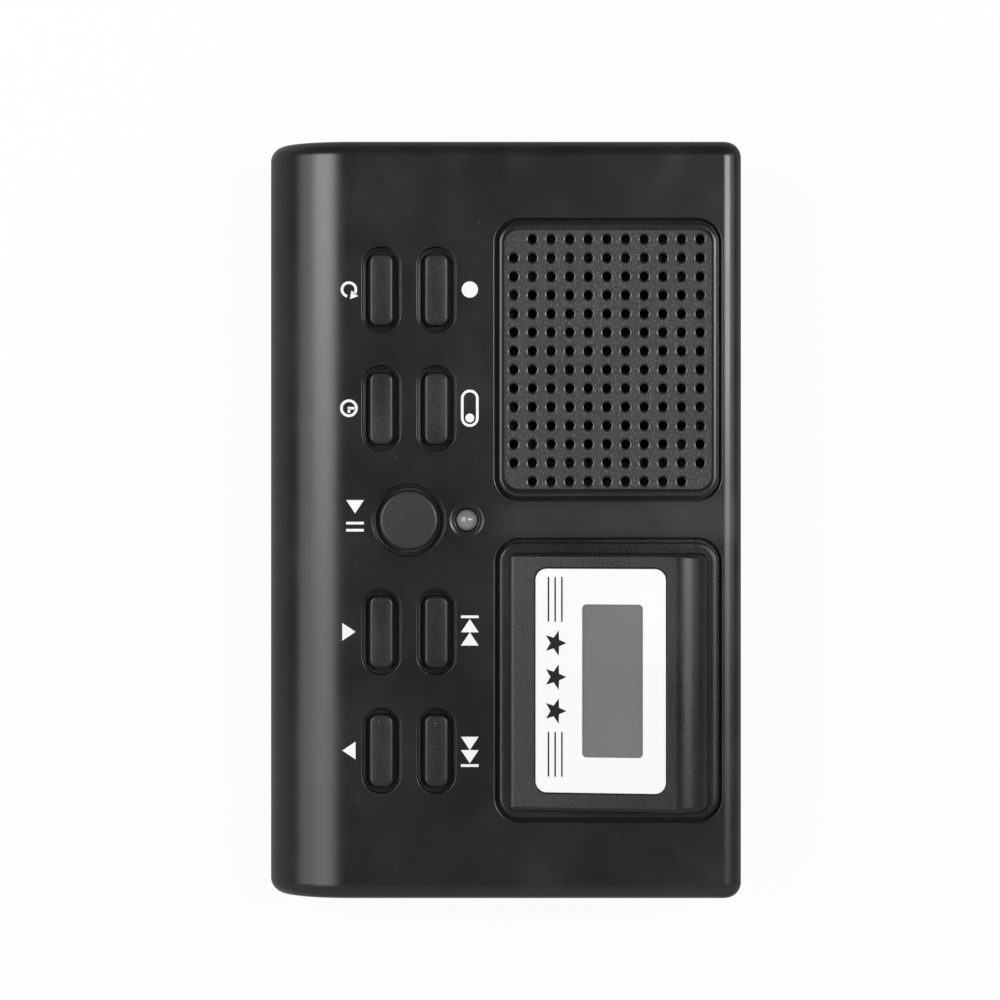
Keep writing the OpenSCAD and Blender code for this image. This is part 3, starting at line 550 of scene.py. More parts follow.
def grain_group():
    """Moulded grain: fine height, its tips for painted glints, and a slow tone for gloss and colour."""
    name = "Moulded grain"
    if name in bpy.data.node_groups:
        return bpy.data.node_groups[name]
    tree, given, result, place = group_with(
        name, (("Grain Scale", 4000.0), ("Tone Scale", 55.0)), ("Height", "Tips", "Tone"))
    fine = noise(tree, place, given["Grain Scale"], detail=2.0, roughness=0.6)
    slow = noise(tree, place, given["Tone Scale"], detail=4.0, roughness=0.55)
    tone = ranged(tree, slow, 0.0, 1.0, 0.3, 0.7)
    tips = ranged(tree, fine, 0.0, 1.0, 0.53, 0.68)
    patchy = ranged(tree, tone, 0.4, 1.0)
    feed(tree, result["Height"], fine)
    feed(tree, result["Tips"], maths(tree, "MULTIPLY", tips, patchy))
    feed(tree, result["Tone"], tone)
    return tree


def wear_group():
    """Dust and smudges: small specks in clusters, and soft wiped patches that are duller and paler."""
    name = "Dust and smudges"
    if name in bpy.data.node_groups:
        return bpy.data.node_groups[name]
    tree, given, result, place = group_with(
        name, (("Dust Scale", 420.0), ("Dust Size", 0.045), ("Dust Limit", 0.42)), ("Dust", "Smudge"))
    cluster_scale = 70.0
    smear_scale = 90.0
    cells = add(tree, "ShaderNodeTexVoronoi", {"Vector": place, "Scale": given["Dust Scale"]})
    near = maths(tree, "LESS_THAN", cells.outputs["Distance"], given["Dust Size"])
    some = add(tree, "ShaderNodeSeparateColor", {"Color": cells.outputs["Color"]})
    crowd = maths(tree, "MULTIPLY", some.outputs[0], noise(tree, place, cluster_scale, detail=2.0))
    kept = maths(tree, "GREATER_THAN", crowd, given["Dust Limit"])
    smear = noise(tree, place, smear_scale, detail=3.0, roughness=0.5, distortion=0.3)
    feed(tree, result["Dust"], maths(tree, "MULTIPLY", near, kept))
    feed(tree, result["Smudge"], ranged(tree, smear, 0.0, 1.0, 0.45, 0.8))
    return tree


def socket_name(word):
    """The socket that a keyword stands for, as coat_weight for Coat Weight."""
    return word.replace("_", " ").title().replace("Ior", "IOR")


def skin(name, base, roughness, grain, depth, tone=0.12, tips=0.0, dust=0.0, gloss=0.05, **settings):
    """A moulded, painted or plated skin: grain of a size and depth in millimetres, a slow tone, some dust.

    tips is how pale the grain's tips are, a painted glint. Other settings name sockets that are the same all
    over.
    """
    material = bpy.data.materials.new(FINISH + name)
    material.use_nodes = True
    tree = material.node_tree
    shader = tree.nodes["Principled BSDF"]
    surface = add(tree, "ShaderNodeGroup", node_tree=grain_group())
    surface.inputs["Grain Scale"].default_value = 1 / (grain * MM)
    base = np.array(base[:3])
    shade_low = (*(base * (1 - tone)), 1.0)
    shade_high = (*np.minimum(base * (1 + tone), 1.0), 1.0)
    body = blend(tree, surface.outputs["Tone"], shade_low, shade_high)
    rough = ranged(tree, surface.outputs["Tone"], roughness - gloss, roughness + gloss)
    # Painted glints: the grain's tips are paled in the base colour to stand in for light caught by the grain
    if tips:
        body = blend(tree, maths(tree, "MULTIPLY", surface.outputs["Tips"], tips), body, PALE)
    if dust:
        wear = add(tree, "ShaderNodeGroup", node_tree=wear_group()).outputs
        body = blend(tree, maths(tree, "MULTIPLY", wear["Smudge"], SMUDGE_SHOWS * dust), body, SMUDGE)
        body = blend(tree, maths(tree, "MULTIPLY", wear["Dust"], dust), body, DUST)
        rough = maths(tree, "MULTIPLY_ADD", wear["Smudge"], SMUDGE_DULLS, rough)
    bump = add(tree, "ShaderNodeBump", {
        "Height": surface.outputs["Height"], "Strength": 1.0, "Distance": depth * MM})
    for socket, value in (("Base Color", body), ("Roughness", rough), ("Normal", bump.outputs[0])):
        feed(tree, shader.inputs[socket], value)
    for word, value in settings.items():
        shader.inputs[socket_name(word)].default_value = value
    return material


def case_black():
    """Moulded black, with a pale film of dust on the roof in the strip between the grille and the hood."""
    material = skin("case_black", colours().case, 0.225, 0.18, 0.012, tips=0.006, dust=0.2, gloss=0.03,
                    specular_ior_level=0.58)
    tree = material.node_tree
    place = add(tree, "ShaderNodeTexCoord").outputs["Object"]
    place = add(tree, "ShaderNodeSeparateXYZ", {0: place}).outputs
    strip = (box("speaker_grille")[1][0] + box("display_bezel")[0][0]) / 2
    film_shows = 0.042
    # It fades out on both sides of the middle of the strip, towards the front, and below the roof
    aside = maths(tree, "ABSOLUTE", maths(tree, "SUBTRACT", place["X"], strip))
    film = ranged(tree, aside, film_shows, 0.0, 1.5 * MM, 4.5 * MM)
    for axis, start, end in (("Y", -3.0, 2.0), ("Z", 24.0, 24.5)):
        film = maths(tree, "MULTIPLY", film, ranged(tree, place[axis], 0.0, 1.0, start * MM, end * MM))
    tint(tree, film, PALE)
    return material


def board_green():
    """Lacquered board: copper runs under the lacquer as pale lines on a square grid."""
    material = skin("board_green", (0.002, 0.012, 0.005), 0.4, 0.6, 0.01)
    tree = material.node_tree
    runs = add(tree, "ShaderNodeTexBrick", {
        "Vector": add(tree, "ShaderNodeTexCoord").outputs["Object"], "Scale": 300.0,
        "Mortar Size": 0.03, "Color1": (0, 0, 0, 1), "Color2": (0.2, 0.2, 0.2, 1), "Mortar": (1, 1, 1, 1)})
    copper = (0.004, 0.022, 0.009, 1.0)
    tint(tree, runs.outputs[0], copper)
    return material


MAKERS = {"case_black": case_black, "board_green": board_green}

# Other finishes: a colour or its name in the panel, roughness, size and depth of the grain, and settings
SKINS = {
    "grille_black": ("grille", 0.42, 0.28, 0.10, {"tone": 0.2, "tips": 0.22, "dust": 0.15}),
    "hood_black": ("case", 0.26, 0.22, 0.03, {"tips": 0.012, "dust": 0.2, "specular_ior_level": 0.42}),
    "key_grey": ("key", 0.33, 0.24, 0.016, {"tips": 0.075, "dust": 0.35, "gloss": 0.03}),
    "play_grey": ("play", 0.36, 0.30, 0.010, {"tone": 0.25, "tips": 0.02, "dust": 0.3, "gloss": 0.03}),
    "label_white": ("label", 0.45, 0.3, 0.003, {"tone": 0.015}),
    "label_ink": ("ink", 0.5, 0.2, 0.003, {"specular_ior_level": 0.15}),
    "mark_white": ("mark", 0.5, 0.2, 0.004, {"tone": 0.04}),
    "clear_plastic": ((0.25, 0.25, 0.25), 0.10, 3.0, 0.004,
                      {"tone": 0.05, "dust": 0.3, "gloss": 0.04, "alpha": 0.6}),
    "lcd_glass": ("glass", 0.55, 8.0, 0.002, {"tone": 0.09}),
    "lamp_milky": ("lamp", 0.4, 0.8, 0.004, {"tone": 0.1, "coat_weight": 1.0}),
    "foot_rubber": ((0.02, 0.02, 0.02), 0.85, 0.25, 0.02, {"dust": 0.4}),
    "screw_steel": ((0.55, 0.55, 0.56), 0.3, 0.15, 0.006, {"metallic": 1.0}),
    "mat_rubber": ((0.32, 0.32, 0.30), 0.7, 0.3, 0.01, {}),
    "light_guide": ((0.8, 0.8, 0.78), 0.3, 0.5, 0.004, {}),
    "ribbon_film": ((0.42, 0.19, 0.03), 0.35, 0.6, 0.004, {}),
    "tinned": ((0.62, 0.62, 0.62), 0.35, 0.1, 0.004, {"metallic": 1.0}),
    "frame_steel": ((0.5, 0.51, 0.53), 0.35, 0.3, 0.006, {"metallic": 1.0}),
    "basket_black": ((0.006, 0.006, 0.006), 0.6, 0.3, 0.01, {}),
    "cone_paper": ((0.02, 0.02, 0.02), 0.9, 0.35, 0.03, {"tone": 0.25}),
    "magnet_iron": ((0.12, 0.12, 0.125), 0.55, 0.3, 0.015, {"metallic": 0.6}),
    "wire_red": ((0.45, 0.02, 0.015), 0.45, 0.4, 0.004, {}),
    "socket_black": ((0.02, 0.02, 0.021), 0.38, 0.2, 0.006, {"dust": 0.15}),
    "contact_gold": ((0.83, 0.6, 0.22), 0.25, 0.2, 0.003, {"metallic": 1.0}),
    "bobbin_plastic": ((0.55, 0.36, 0.06), 0.45, 0.3, 0.008, {}),
    "sleeve_plastic": ((0.02, 0.03, 0.12), 0.35, 0.4, 0.004, {}),
    "cell_label": ((0.03, 0.09, 0.07), 0.3, 0.5, 0.003, {}),
}


def finished(name):
    """The material of a finish, made the first time it is asked for."""
    material = bpy.data.materials.get(FINISH + name)
    if material:
        return material
    if name in MAKERS:
        return MAKERS[name]()
    base, roughness, grain, depth, settings = SKINS[name]
    if isinstance(base, str):
        base = getattr(colours(), base)
    return skin(name, base, roughness, grain, depth, **settings)


# Shapes that several pieces share


def hole_of(key):
    """Length, width and corner radius of the hole that a key moves in. Long holes have a short flat end."""
    flat_end = 0.05 * MM if key in LONG_KEYS else 0.0
    long, wide = key_span(key) + 2 * sizes().key_gap
    return long, wide, wide / 2 - flat_end


def well_section(top, floor, ledge, depth, lip):
    """Section of a stepped well: soft lip, ledge with a hollow corner, soft edge into the hole."""
    hollow = lip / 2
    return np.concatenate([
        arc((ledge + lip, top - lip), lip, 90, 180, 5),
        arc((ledge - hollow, top - depth + hollow), hollow, 0, -90, 3),
        arc((hollow, top - depth - hollow), hollow, 90, 180, 3),
        [(0.0, floor)]])


def dish_section(top, floor, hole, size):
    """Section of the lamp's dish: a half wave of a cosine down to a short floor, then the hole."""
    wave = np.linspace(0, 1, 9)
    run = 2.2 * size.lip
    slope = np.column_stack([size.dish + size.lip - hole - run * wave,
                             top - size.dish_depth * (0.5 - 0.5 * np.cos(np.pi * wave))])
    edge = size.lip / 2
    return np.concatenate([slope, arc((edge, slope[-1, 1] - edge), edge, 90, 180, 3), [(0.0, floor)]])


def insert_place(node):
    """Middle and span of an insert in the roof, set a little further back than its solid, and trimmed."""
    low, high = box(node)
    step = np.array(INSERT_STEP[node]) * MM
    trim = np.array(INSERT_TRIM[node]) * MM
    return plan(node) + step, (high - low)[:2] - trim


def rim_section(low, sunk, crest, ledge, width, height):
    """Section of an insert's raised rim: foot, sunk ledge outside, and a rounded edge up to the crest.

    width and height are those of the rounded edge, a quarter of an ellipse.
    """
    soft = 0.1 * MM
    edge = arc((0, 0), 1, 0, 90, 8) * (width, height) + (-ledge - width, crest - height)
    return np.concatenate([
        [(0.0, low)], arc((-soft, sunk - soft), soft, 0, 90, 3), [(-ledge, sunk)], edge])


class RecorderOperator:
    """What the operators share."""
    bl_options = {"REGISTER", "UNDO"}


class RECORDER_OT_upper_case(RecorderOperator, bpy.types.Operator):
    """Upper case half: rounded skin with key wells, lamp dish and insert pockets, and its inner skin"""
    bl_idname = "recorder.upper_case"
    bl_label = "Upper case"

    def execute(self, context):
        size = sizes()
        low, high = box("top_shell")
        half_x, half_y, top = high
        seam = low[2]
        roof = top - size.roof
        front_y = size.front_run - half_y
        foot = top - size.front_drop
        grids = self.openings(top, roof, size)
        rims, inner = ([grid[end, :, :2] - (0.0, front_y) for grid in grids] for end in (0, -1))
        patches = [sheet(grid) for grid in grids]
        front = ((front_y, foot), (size.front_run, size.front_drop))
        back = ((half_y - size.back_radius, top - size.back_radius), size.back_radius)
        patches += rounded_bar(bar_section(foot, front, back, 90), half_x, size.end_radius, rims)
        wall = size.wall
        soft = 0.5 * MM
        front = ((front_y, foot), (size.front_run - wall, roof - foot))
        back = ((half_y - wall - soft, roof - soft), soft)
        patches += rounded_bar(bar_section(seam, front, back, 90), half_x - wall, soft, inner)
        edge = arc((-size.seam, seam + size.seam), size.seam, 0, -90, 4)
        band = carried(np.concatenate([[(0.0, foot)], edge]), 2 * half_x, 2 * half_y, size.end_radius)
        inside = carried([(0.0, seam)], 2 * (half_x - wall), 2 * (half_y - wall), soft)
        patches += [sheet(band), sheet(np.concatenate([band[-1:], inside]))]
        add_piece("upper_case", patches, "case_black", "case", ("top_shell",),
                  cuts=[self.card_slot(half_x, seam)])
        return {"FINISHED"}

    @staticmethod
    def openings(top, roof, size):
        """Wall of each opening in the roof, from its rim down: key wells, lamp dish and insert pockets."""
        well = well_section(top, roof, size.ledge, size.ledge_depth, size.well_lip)
        grids = [carried(well, *hole_of(key), plan(key + "_key")) for key in KEYS]
        hole = box("led_lamp")[1][0] - plan("led_lamp")[0] - size.lamp_flange + size.fit
        grids.append(spun(dish_section(top, roof, hole, size), hole, plan("led_lamp")))
        pocket = np.concatenate([
            arc((size.lip, top - size.lip), size.lip, 90, 180, 5),
            [(0.0, top - size.insert_depth), (-size.insert_seat, top - size.insert_depth),
             (-size.insert_seat, roof)]])
        for node in ("speaker_grille", "display_bezel"):
            place, span = insert_place(node)
            grids.append(carried(pocket, *(span + 2 * size.fit), size.insert_corner + size.fit, place))
        return grids

    @staticmethod
    def card_slot(half_x, seam):
        """Corners of the box that is cut out of the end wall, between the rails of the card socket."""
        low, high = box("card_socket")
        reach = 3 * MM
        rail = 1.0 * MM
        lap = 0.1 * MM
        return ((-half_x - reach, low[1] + rail, seam - reach),
                (low[0] + reach, high[1] - rail, high[2] - lap))


class RECORDER_OT_keys(RecorderOperator, bpy.types.Operator):
    """Nine keys: foot, flange, shaft and a crowned top with a rounded edge"""
    bl_idname = "recorder.keys"
    bl_label = "Keys"

    def execute(self, context):
        size = sizes()
        for key in KEYS:
            low, high = box(key + "_key")
            span = key_span(key)
            radius = size.key_corner if key in LONG_KEYS else span[1] / 2
            section = self.section(low[2], high[2], span[1] / 2, size)
            finish = "key_grey" if key in LONG_KEYS else "play_grey"
            add_piece(key + "_button", solid(section, *span, radius), finish, key + "_key", (key + "_key",),
                      place=plan(key + "_key"))
        return {"FINISHED"}

    @staticmethod
    def section(low, high, half, size):
        """Section from the foot up. The crown falls as u * u, with u from 0 inside to 1 at its edge."""
        flange_top = roof_top() - size.roof
        flange_low = flange_top - size.flange_height
        foot = -0.5 * MM
        edge = size.key_edge
        draft = size.key_draft
        middle_share = 0.04
        edge_turn = 82
        share = np.linspace(1, middle_share, 6)
        crown = np.column_stack([-half + (half - edge - draft) * share,
                                 high - size.key_crown * share ** 2])
        side = arc((-edge - draft, crown[0, 1] - edge), edge, 0, edge_turn, 7)
        return np.concatenate([
            [(foot, low), (foot, flange_low), (size.flange, flange_low), (size.flange, flange_top),
             (0.0, flange_top)], side, crown])


class RECORDER_OT_speaker_grille(RecorderOperator, bpy.types.Operator):
    """Speaker grille: raised rim and a grained panel of soft-edged sound holes"""
    bl_idname = "recorder.speaker_grille"
    bl_label = "Speaker grille"

    def execute(self, context):
        size = sizes()
        foot = box("speaker_grille")[0][2]
        top = roof_top()
        middle, span = insert_place("speaker_grille")
        panel = top - size.panel_drop
        crest = top + size.rim_height
        section = rim_section(foot, top - size.rim_sunk, crest,
                              ledge=0.42 * MM, width=0.6 * MM, height=0.35 * MM)
        room = span - 2 * np.array([size.rim_end, size.rim_side])
        slope = np.array([0.5, 0.22]) * MM
        crest_corner = 2.4 * MM
        panel_corner = 2.2 * MM
        rim = np.concatenate([carried(section, *span, size.insert_corner, middle),
                              carried([(0.0, crest)], *(room + 2 * slope), crest_corner, middle),
                              carried([(0.0, panel)], *room, panel_corner, middle)])
        lip = np.array([(1.0, 0.0), (0.94, -0.01), (0.31, -0.19), (0.12, -0.29), (0.0, -0.5)])
        edge = np.concatenate([lip * size.sound_lip + (0.0, panel), [(0.0, foot)]])
        # Every second point is enough for a hole this small
        hole = spun(edge, size.sound_hole)[:, ::2]
        places = self.hole_places(room - 2 * size.sound_hole, size.sound_pitch)
        places = places + (*plan("speaker_grille"), 0.0)
        loops = {row: list(hole[row, :, :2] + places[:, None, :2]) for row in (0, -1)}
        patches = [sheet(rim), repeated(sheet(hole), places), fill([rim[-1, :, :2]] + loops[0], panel),
                   fill([rim[0, :, :2]] + loops[-1], foot)]
        add_piece("grille_panel", patches, "case_black", "case", ("speaker_grille",), flats="grille_black")
        return {"FINISHED"}

    @staticmethod
    def hole_places(room, pitch):
        """Centres of a square grid of as many holes as fit, with three corner holes left out."""
        count = np.floor(room / pitch).astype(int)
        column, row = np.meshgrid(np.arange(count[0] + 1), np.arange(count[1] + 1), indexing="ij")
        places = np.column_stack([column.ravel(), row.ravel()])
        plain = np.array([(0, 0), (count[0], 0), (count[0], count[1])])
        kept = ~(places[:, None] == plain[None]).all(axis=2).any(axis=1)
        spots = (places[kept] - count / 2) * pitch
        return np.column_stack([spots, np.zeros(len(spots))])


def slope_frame():
    """Origin of the display slope, its axes across, up and out of it, and its tilt in degrees."""
    size = sizes()
    low, high = box("display_bezel")
    origin = np.array([plan("display_bezel")[0], low[1] + size.hump_ahead, roof_top() + size.hump_front])
    reach = high[1] - size.hump_behind - size.hump_roll - origin[1]
    rise = high[2] - size.hump_roll - origin[2]
    tilt = slope_tilt(reach, rise, size.hump_roll)
    axes = np.array([(1, 0, 0), (0, math.cos(tilt), math.sin(tilt)), (0, -math.sin(tilt), math.cos(tilt))])
    return origin, axes, math.degrees(tilt)


def slope_tilt(reach, rise, roll):
    """Tilt of a line from the origin that touches a circle of radius roll about (reach, rise) from above."""
    return math.atan2(rise, reach) + math.asin(roll / math.hypot(reach, rise))


class RECORDER_OT_display_hood(RecorderOperator, bpy.types.Operator):
    """Display hood: raised rim, a sloped hump with a rolled back, and the recess for window and label"""
    bl_idname = "recorder.display_hood"
    bl_label = "Display hood"

    def execute(self, context):
        size = sizes()
        low, high = box("display_bezel")
        top = roof_top()
        middle, span = insert_place("display_bezel")
        origin, axes, tilt = slope_frame()
        panel = top + size.hood_panel
        rim_width = 1.25 * MM
        section = rim_section(low[2], top - size.rim_sunk, top + size.hood_rim,
                              ledge=0.5 * MM, width=0.55 * MM, height=0.22 * MM)
        section = np.concatenate([section, [(-rim_width, panel)]])
        rim = carried(section, *span, size.insert_corner, middle)
        first = low[:2] + (size.hump_left, size.hump_ahead)
        last = high[:2] - (size.hump_right, size.hump_behind)
        hump = last - first
        middle = (first + last) / 2
        back_corners = 2 * (TURN + 1)
        around = np.concatenate([outline(*hump, size.hump_corner)[:back_corners],
                                 outline(*hump, size.hump_edge)[back_corners:]])
        soft = 0.3 * MM
        within = outline(*(hump - 2 * size.hump_wall), soft)
        recess, opening, walls = self.recess(origin, axes, size)
        patches = [sheet(rim), fill([rim[-1, :, :2], around + middle], panel),
                   fill([rim[0, :, :2], within + middle], low[2])] + walls
        nose_start = 146
        wall_start = 180
        # Outer and inner skin: depth under the outer one, nose, rounding at the front and the back, start of
        # the nose in degrees, foot, and the loop of the display opening
        for thick, nose, ends, start, foot, loop in (
                (0.0, size.hump_nose, (size.hump_edge, size.hump_corner), nose_start, panel, recess),
                (size.hump_wall, soft, (soft, soft), wall_start, low[2], opening)):
            ridge, begin = self.hump_bar(origin, tilt, thick, nose, start, foot, hump[1], size)
            back = np.clip((np.arange(len(ridge[0])) - ridge[3]) / TURN, 0, 1)
            skins = rounded_bar(ridge, hump[0] / 2 - thick, ends[0] + (ends[1] - ends[0]) * back,
                                [loop - np.array([middle[0] - origin[0], begin])])
            patches += [moved(patch, (middle[0], 0.0, 0.0)) for patch in skins]
        add_piece("display_hood", patches, "hood_black", "case", ("display_bezel",))
        return {"FINISHED"}

    @staticmethod
    def hump_bar(origin, tilt, thick, nose, start, foot, depth, size):
        """Section of the hump's outer or inner skin, and how far up the slope its flat begins."""
        lean = math.radians(tilt)
        inset = thick - nose * math.cos(math.radians(start))
        front = (origin[1] + inset, origin[2] + inset * math.tan(lean) - (thick + nose) / math.cos(lean))
        roll = (origin[1] + depth - size.hump_roll,
                origin[2] + ((depth - size.hump_roll) * math.sin(lean) - size.hump_roll) / math.cos(lean))
        ridge = bar_section(foot, (front, nose), (roll, size.hump_roll - thick), 90 + tilt, start)
        flat = ridge[0][ridge[2]]
        return ridge, (flat[0] - origin[1]) * math.cos(lean) + (flat[1] - origin[2]) * math.sin(lean)

    @staticmethod
    def recess(origin, axes, size):
        """Recess in the slope: soft lip, wall, seat with the view opening, and the opening's wall."""
        label = label_box("display_window", origin, axes)
        view = view_box(origin, axes)
        lip = 0.15 * MM
        depth = -(size.label_thick + size.window_thick - size.label_proud)
        spread = 2 * size.fit
        section = np.concatenate([arc((lip, -lip), lip, 90, 180, 4), [(0.0, depth)]])
        corner = size.label_corner + size.fit
        outer = carried(section, label[2] + spread, label[3] + spread, corner, label[:2])
        section = [(0.0, depth), (0.0, -size.hump_wall)]
        room = 1.4 * MM
        hole = carried(section, view[2] + room, view[3] + room, size.view_corner, view[:2])
        walls = [sheet(outer), sheet(hole), fill([outer[-1, :, :2], hole[0, :, :2]], depth)]
        return outer[0, :, :2], hole[-1, :, :2], [turned(patch, origin, axes) for patch in walls]


def slope_box(node, origin, axes):
    """Middle and size of a flat node on the slope, measured across and up the slope."""
    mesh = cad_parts[node].data
    points = np.empty(len(mesh.vertices) * 3)
    mesh.vertices.foreach_get("co", points)
    local = (points.reshape(-1, 3) - origin) @ axes.T
    low, high = local.min(axis=0)[:2], local.max(axis=0)[:2]
    return (*((low + high) / 2), *(high - low))


def label_box(node, origin, axes):
    """Middle and size of the label or the window, set a little further up the slope than its plain solid."""
    step_up = 0.33 * MM
    shorter = 0.15 * MM
    wider = 0.22 * MM
    x, y, long, wide = slope_box(node, origin, axes)
    return x, y + step_up, long - shorter, wide + wider


def view_box(origin, axes):
    """Middle and size of the clear part of the display, inside the edge of its glass."""
    lap = np.array([6.83, 4.24]) * MM
    step_up = 0.36 * MM
    x, y, long, wide = slope_box("lcd_panel", origin, axes)
    return x, y + step_up, long - lap[0], wide - lap[1]


def slab(long, wide, radius, low, high, soft, hole=None):
    """Plate with softened upper edges, and with an opening where hole gives (x, y, long, wide, radius)."""
    round_edge = arc((-soft, high - soft), soft, 0, 90, 4)
    outer = carried(np.concatenate([[(0.0, low)], round_edge]), long, wide, radius)
    rims = [[outer[0, :, :2]], [outer[-1, :, :2]]]
    patches = [sheet(outer)]
    if hole:
        inner = carried(np.concatenate([[(0.0, low)], round_edge * (-1, 1)]), *hole[2:], hole[:2])
        patches.append(sheet(inner))
        rims[0].append(inner[0, :, :2])
        rims[1].append(inner[-1, :, :2])
    return patches + [fill(rims[0], low), fill(rims[1], high)]


class RECORDER_OT_display_front(RecorderOperator, bpy.types.Operator):
    """Clear window, white label with its opening, and the printed lines and stars on the label"""
    bl_idname = "recorder.display_front"
    bl_label = "Display front"

    def execute(self, context):
        size = sizes()
        origin, axes, _ = slope_frame()
        x, y, long, wide = label_box("display_label", origin, axes)
        view = view_box(origin, axes)
        lower = size.label_proud - size.label_thick
        hole = (view[0] - x, view[1] - y, view[2], view[3], size.view_corner)
        soft = 0.05 * MM
        label = slab(long, wide, size.label_corner, lower, size.label_proud, soft, hole)
        window = slab(long, wide, size.label_corner, lower - size.window_thick, lower, soft)
        ink = self.print_patches(size.label_proud, size.label_proud + size.print_height)
        place = origin + x * axes[0] + y * axes[1]
        for name, patches, finish, nodes, slot in (
                ("label_card", label, "label_white", ("display_label",), "label_white"),
                ("clear_window", window, "clear_plastic", ("display_window",), "clear_plastic"),
                ("label_print", ink, "label_ink", (), "label_white")):
            add_piece(name, [turned(patch, place, axes) for patch in patches], finish, "case", nodes)
        return {"FINISHED"}

    @staticmethod
    def print_patches(low, high):
        """Three stars in a row with three thin lines on each side."""
        row = -6.93 * MM
        line_pitch = 1.03 * MM
        line_half = 0.115 * MM
        star_x = np.array([-5.70, -0.55, 4.61]) * MM
        runs = np.array([(-15.73, -8.93), (7.77, 14.57)]) * MM
        patches = []
        for start, end in runs:
            for step in (-1, 0, 1):
                middle = row + step * line_pitch
                patches += prism([bar(start, end, middle - line_half, middle + line_half)], low, high)
        star_radius = 1.9 * MM
        star_stretch = (1.07, 0.92)
        shape = star(star_radius) * star_stretch
        for x in star_x:
            patches += prism([shape + (x, row)], low, high)
        return patches


def bar(x0, x1, y0, y1):
    """Rectangle between two places across and two places up."""
    return np.array([(x0, y0), (x1, y0), (x1, y1), (x0, y1)])


def star(radius):
    """Five-pointed star with a point up: radius alternates between the tips and a share of it."""
    turn = np.radians(90 + 36 * np.arange(10))
    notch = 0.42
    reach = radius * np.where(np.arange(10) % 2, notch, 1.0)
    return reach[:, None] * np.column_stack([np.cos(turn), np.sin(turn)])


def triangle(tip_x, base_x, half):
    """Triangle with its tip on the x axis and an upright base of twice the half height."""
    return np.array([(tip_x, 0.0), (base_x, half), (base_x, -half)])


def round_loop(radius, steps=32):
    """Circle about the origin: radius * (cos a, sin a) over a full turn."""
    return arc((0, 0), radius, 0, 360, steps)[:-1]


def band_arc(radius, thick, start, end):
    """Outline of a curved band of a thickness about a circle."""
    outer = arc((0, 0), radius + thick / 2, start, end, 28)
    return np.concatenate([outer, arc((0, 0), radius - thick / 2, end, start, 28)])


class RECORDER_OT_marks(RecorderOperator, bpy.types.Operator):
    """White printed marks beside the keys"""
    bl_idname = "recorder.marks"
    bl_label = "Key marks"

    def execute(self, context):
        size = sizes()
        top = roof_top()
        steps = dict.fromkeys(FRONT_KEYS, -size.mark_front)
        steps.update(dict.fromkeys(BACK_KEYS, size.mark_back), play=-size.mark_play)
        patches = []
        for key, shapes in self.shapes(size.mark_height / 2).items():
            place = plan(key + "_key") + (0.0, steps[key])
            for loops in shapes:
                patches += prism([loop + place for loop in loops], top, top + size.print_height)
        add_piece("key_marks", patches, "mark_white", "case", ())
        return {"FINISHED"}

    @staticmethod
    def shapes(h):
        """Each mark as a list of shapes, each a rim and its holes. h is half the height of a mark.

        Places and sizes in a mark are shares of h.
        """
        thin = 0.3 * h
        tall = bar(-thin / 2, thin / 2, -h, h)
        right = triangle(0.75 * h, -0.75 * h, h)
        turn_up = np.array([(0.0, 1.0), (-1.0, 0.0)])
        ring_radius = 0.78 * h
        turn = math.radians(-40)
        spin = np.array([(math.cos(turn), math.sin(turn)), (-math.sin(turn), math.cos(turn))])
        head = (triangle(0.75 * h, -0.1 * h, 0.5 * h) + (0.0, ring_radius)) @ spin
        clock = [[round_loop(h), round_loop(h - thin)], [bar(-thin / 2, thin / 2, -thin / 2, 0.62 * h)],
                 [bar(0.2 * thin, 0.5 * h, -thin / 2, thin / 2)]]
        pill = outline(4.2 * h, 2 * h, h)
        pill_hole = outline(4.2 * h, 2 * h, h, -thin)
        pair = [right + (-0.8 * h, 0.0), right + (0.7 * h, 0.0)]
        return {
            "replay": [[band_arc(ring_radius, thin, 50, 345)], [head]],
            "record": [[round_loop(0.92 * h)]],
            "timer": clock,
            "mode": [[pill, pill_hole], [round_loop(0.5 * h) + (1.1 * h, 0.0)]],
            "play": [[right + (-1.5 * h, 0.0)], [tall + (0.35 * h, 0.0)], [tall + (1.15 * h, 0.0)]],
            "up": [[right @ turn_up]],
            "down": [[right @ -turn_up]],
            "previous": [[loop * (-1, 1)] for loop in pair] + [[tall + (-1.7 * h, 0.0)]],
            "next": [[loop] for loop in pair] + [[tall + (1.7 * h, 0.0)]],
        }


class RECORDER_OT_lamp(RecorderOperator, bpy.types.Operator):
    """Milky lamp: a round foot, a straight body and a half-round dome"""
    bl_idname = "recorder.lamp"
    bl_label = "Lamp"

    def execute(self, context):
        size = sizes()
        low, high = box("led_lamp")
        radius = (high - low)[0] / 2 - size.lamp_flange
        foot_height = 0.9 * MM
        foot = low[2] + foot_height
        dome = arc((-radius, high[2] - radius), radius, 0, 90)
        grid = spun(np.concatenate([
            [(size.lamp_flange, low[2]), (size.lamp_flange, foot), (0.0, foot)], dome]), radius)
        patches = [sheet(grid), fill([grid[0, :, :2]], low[2])]
        add_piece("lamp_lens", patches, "lamp_milky", "case", ("led_lamp",),
                  place=plan("led_lamp"))
        return {"FINISHED"}


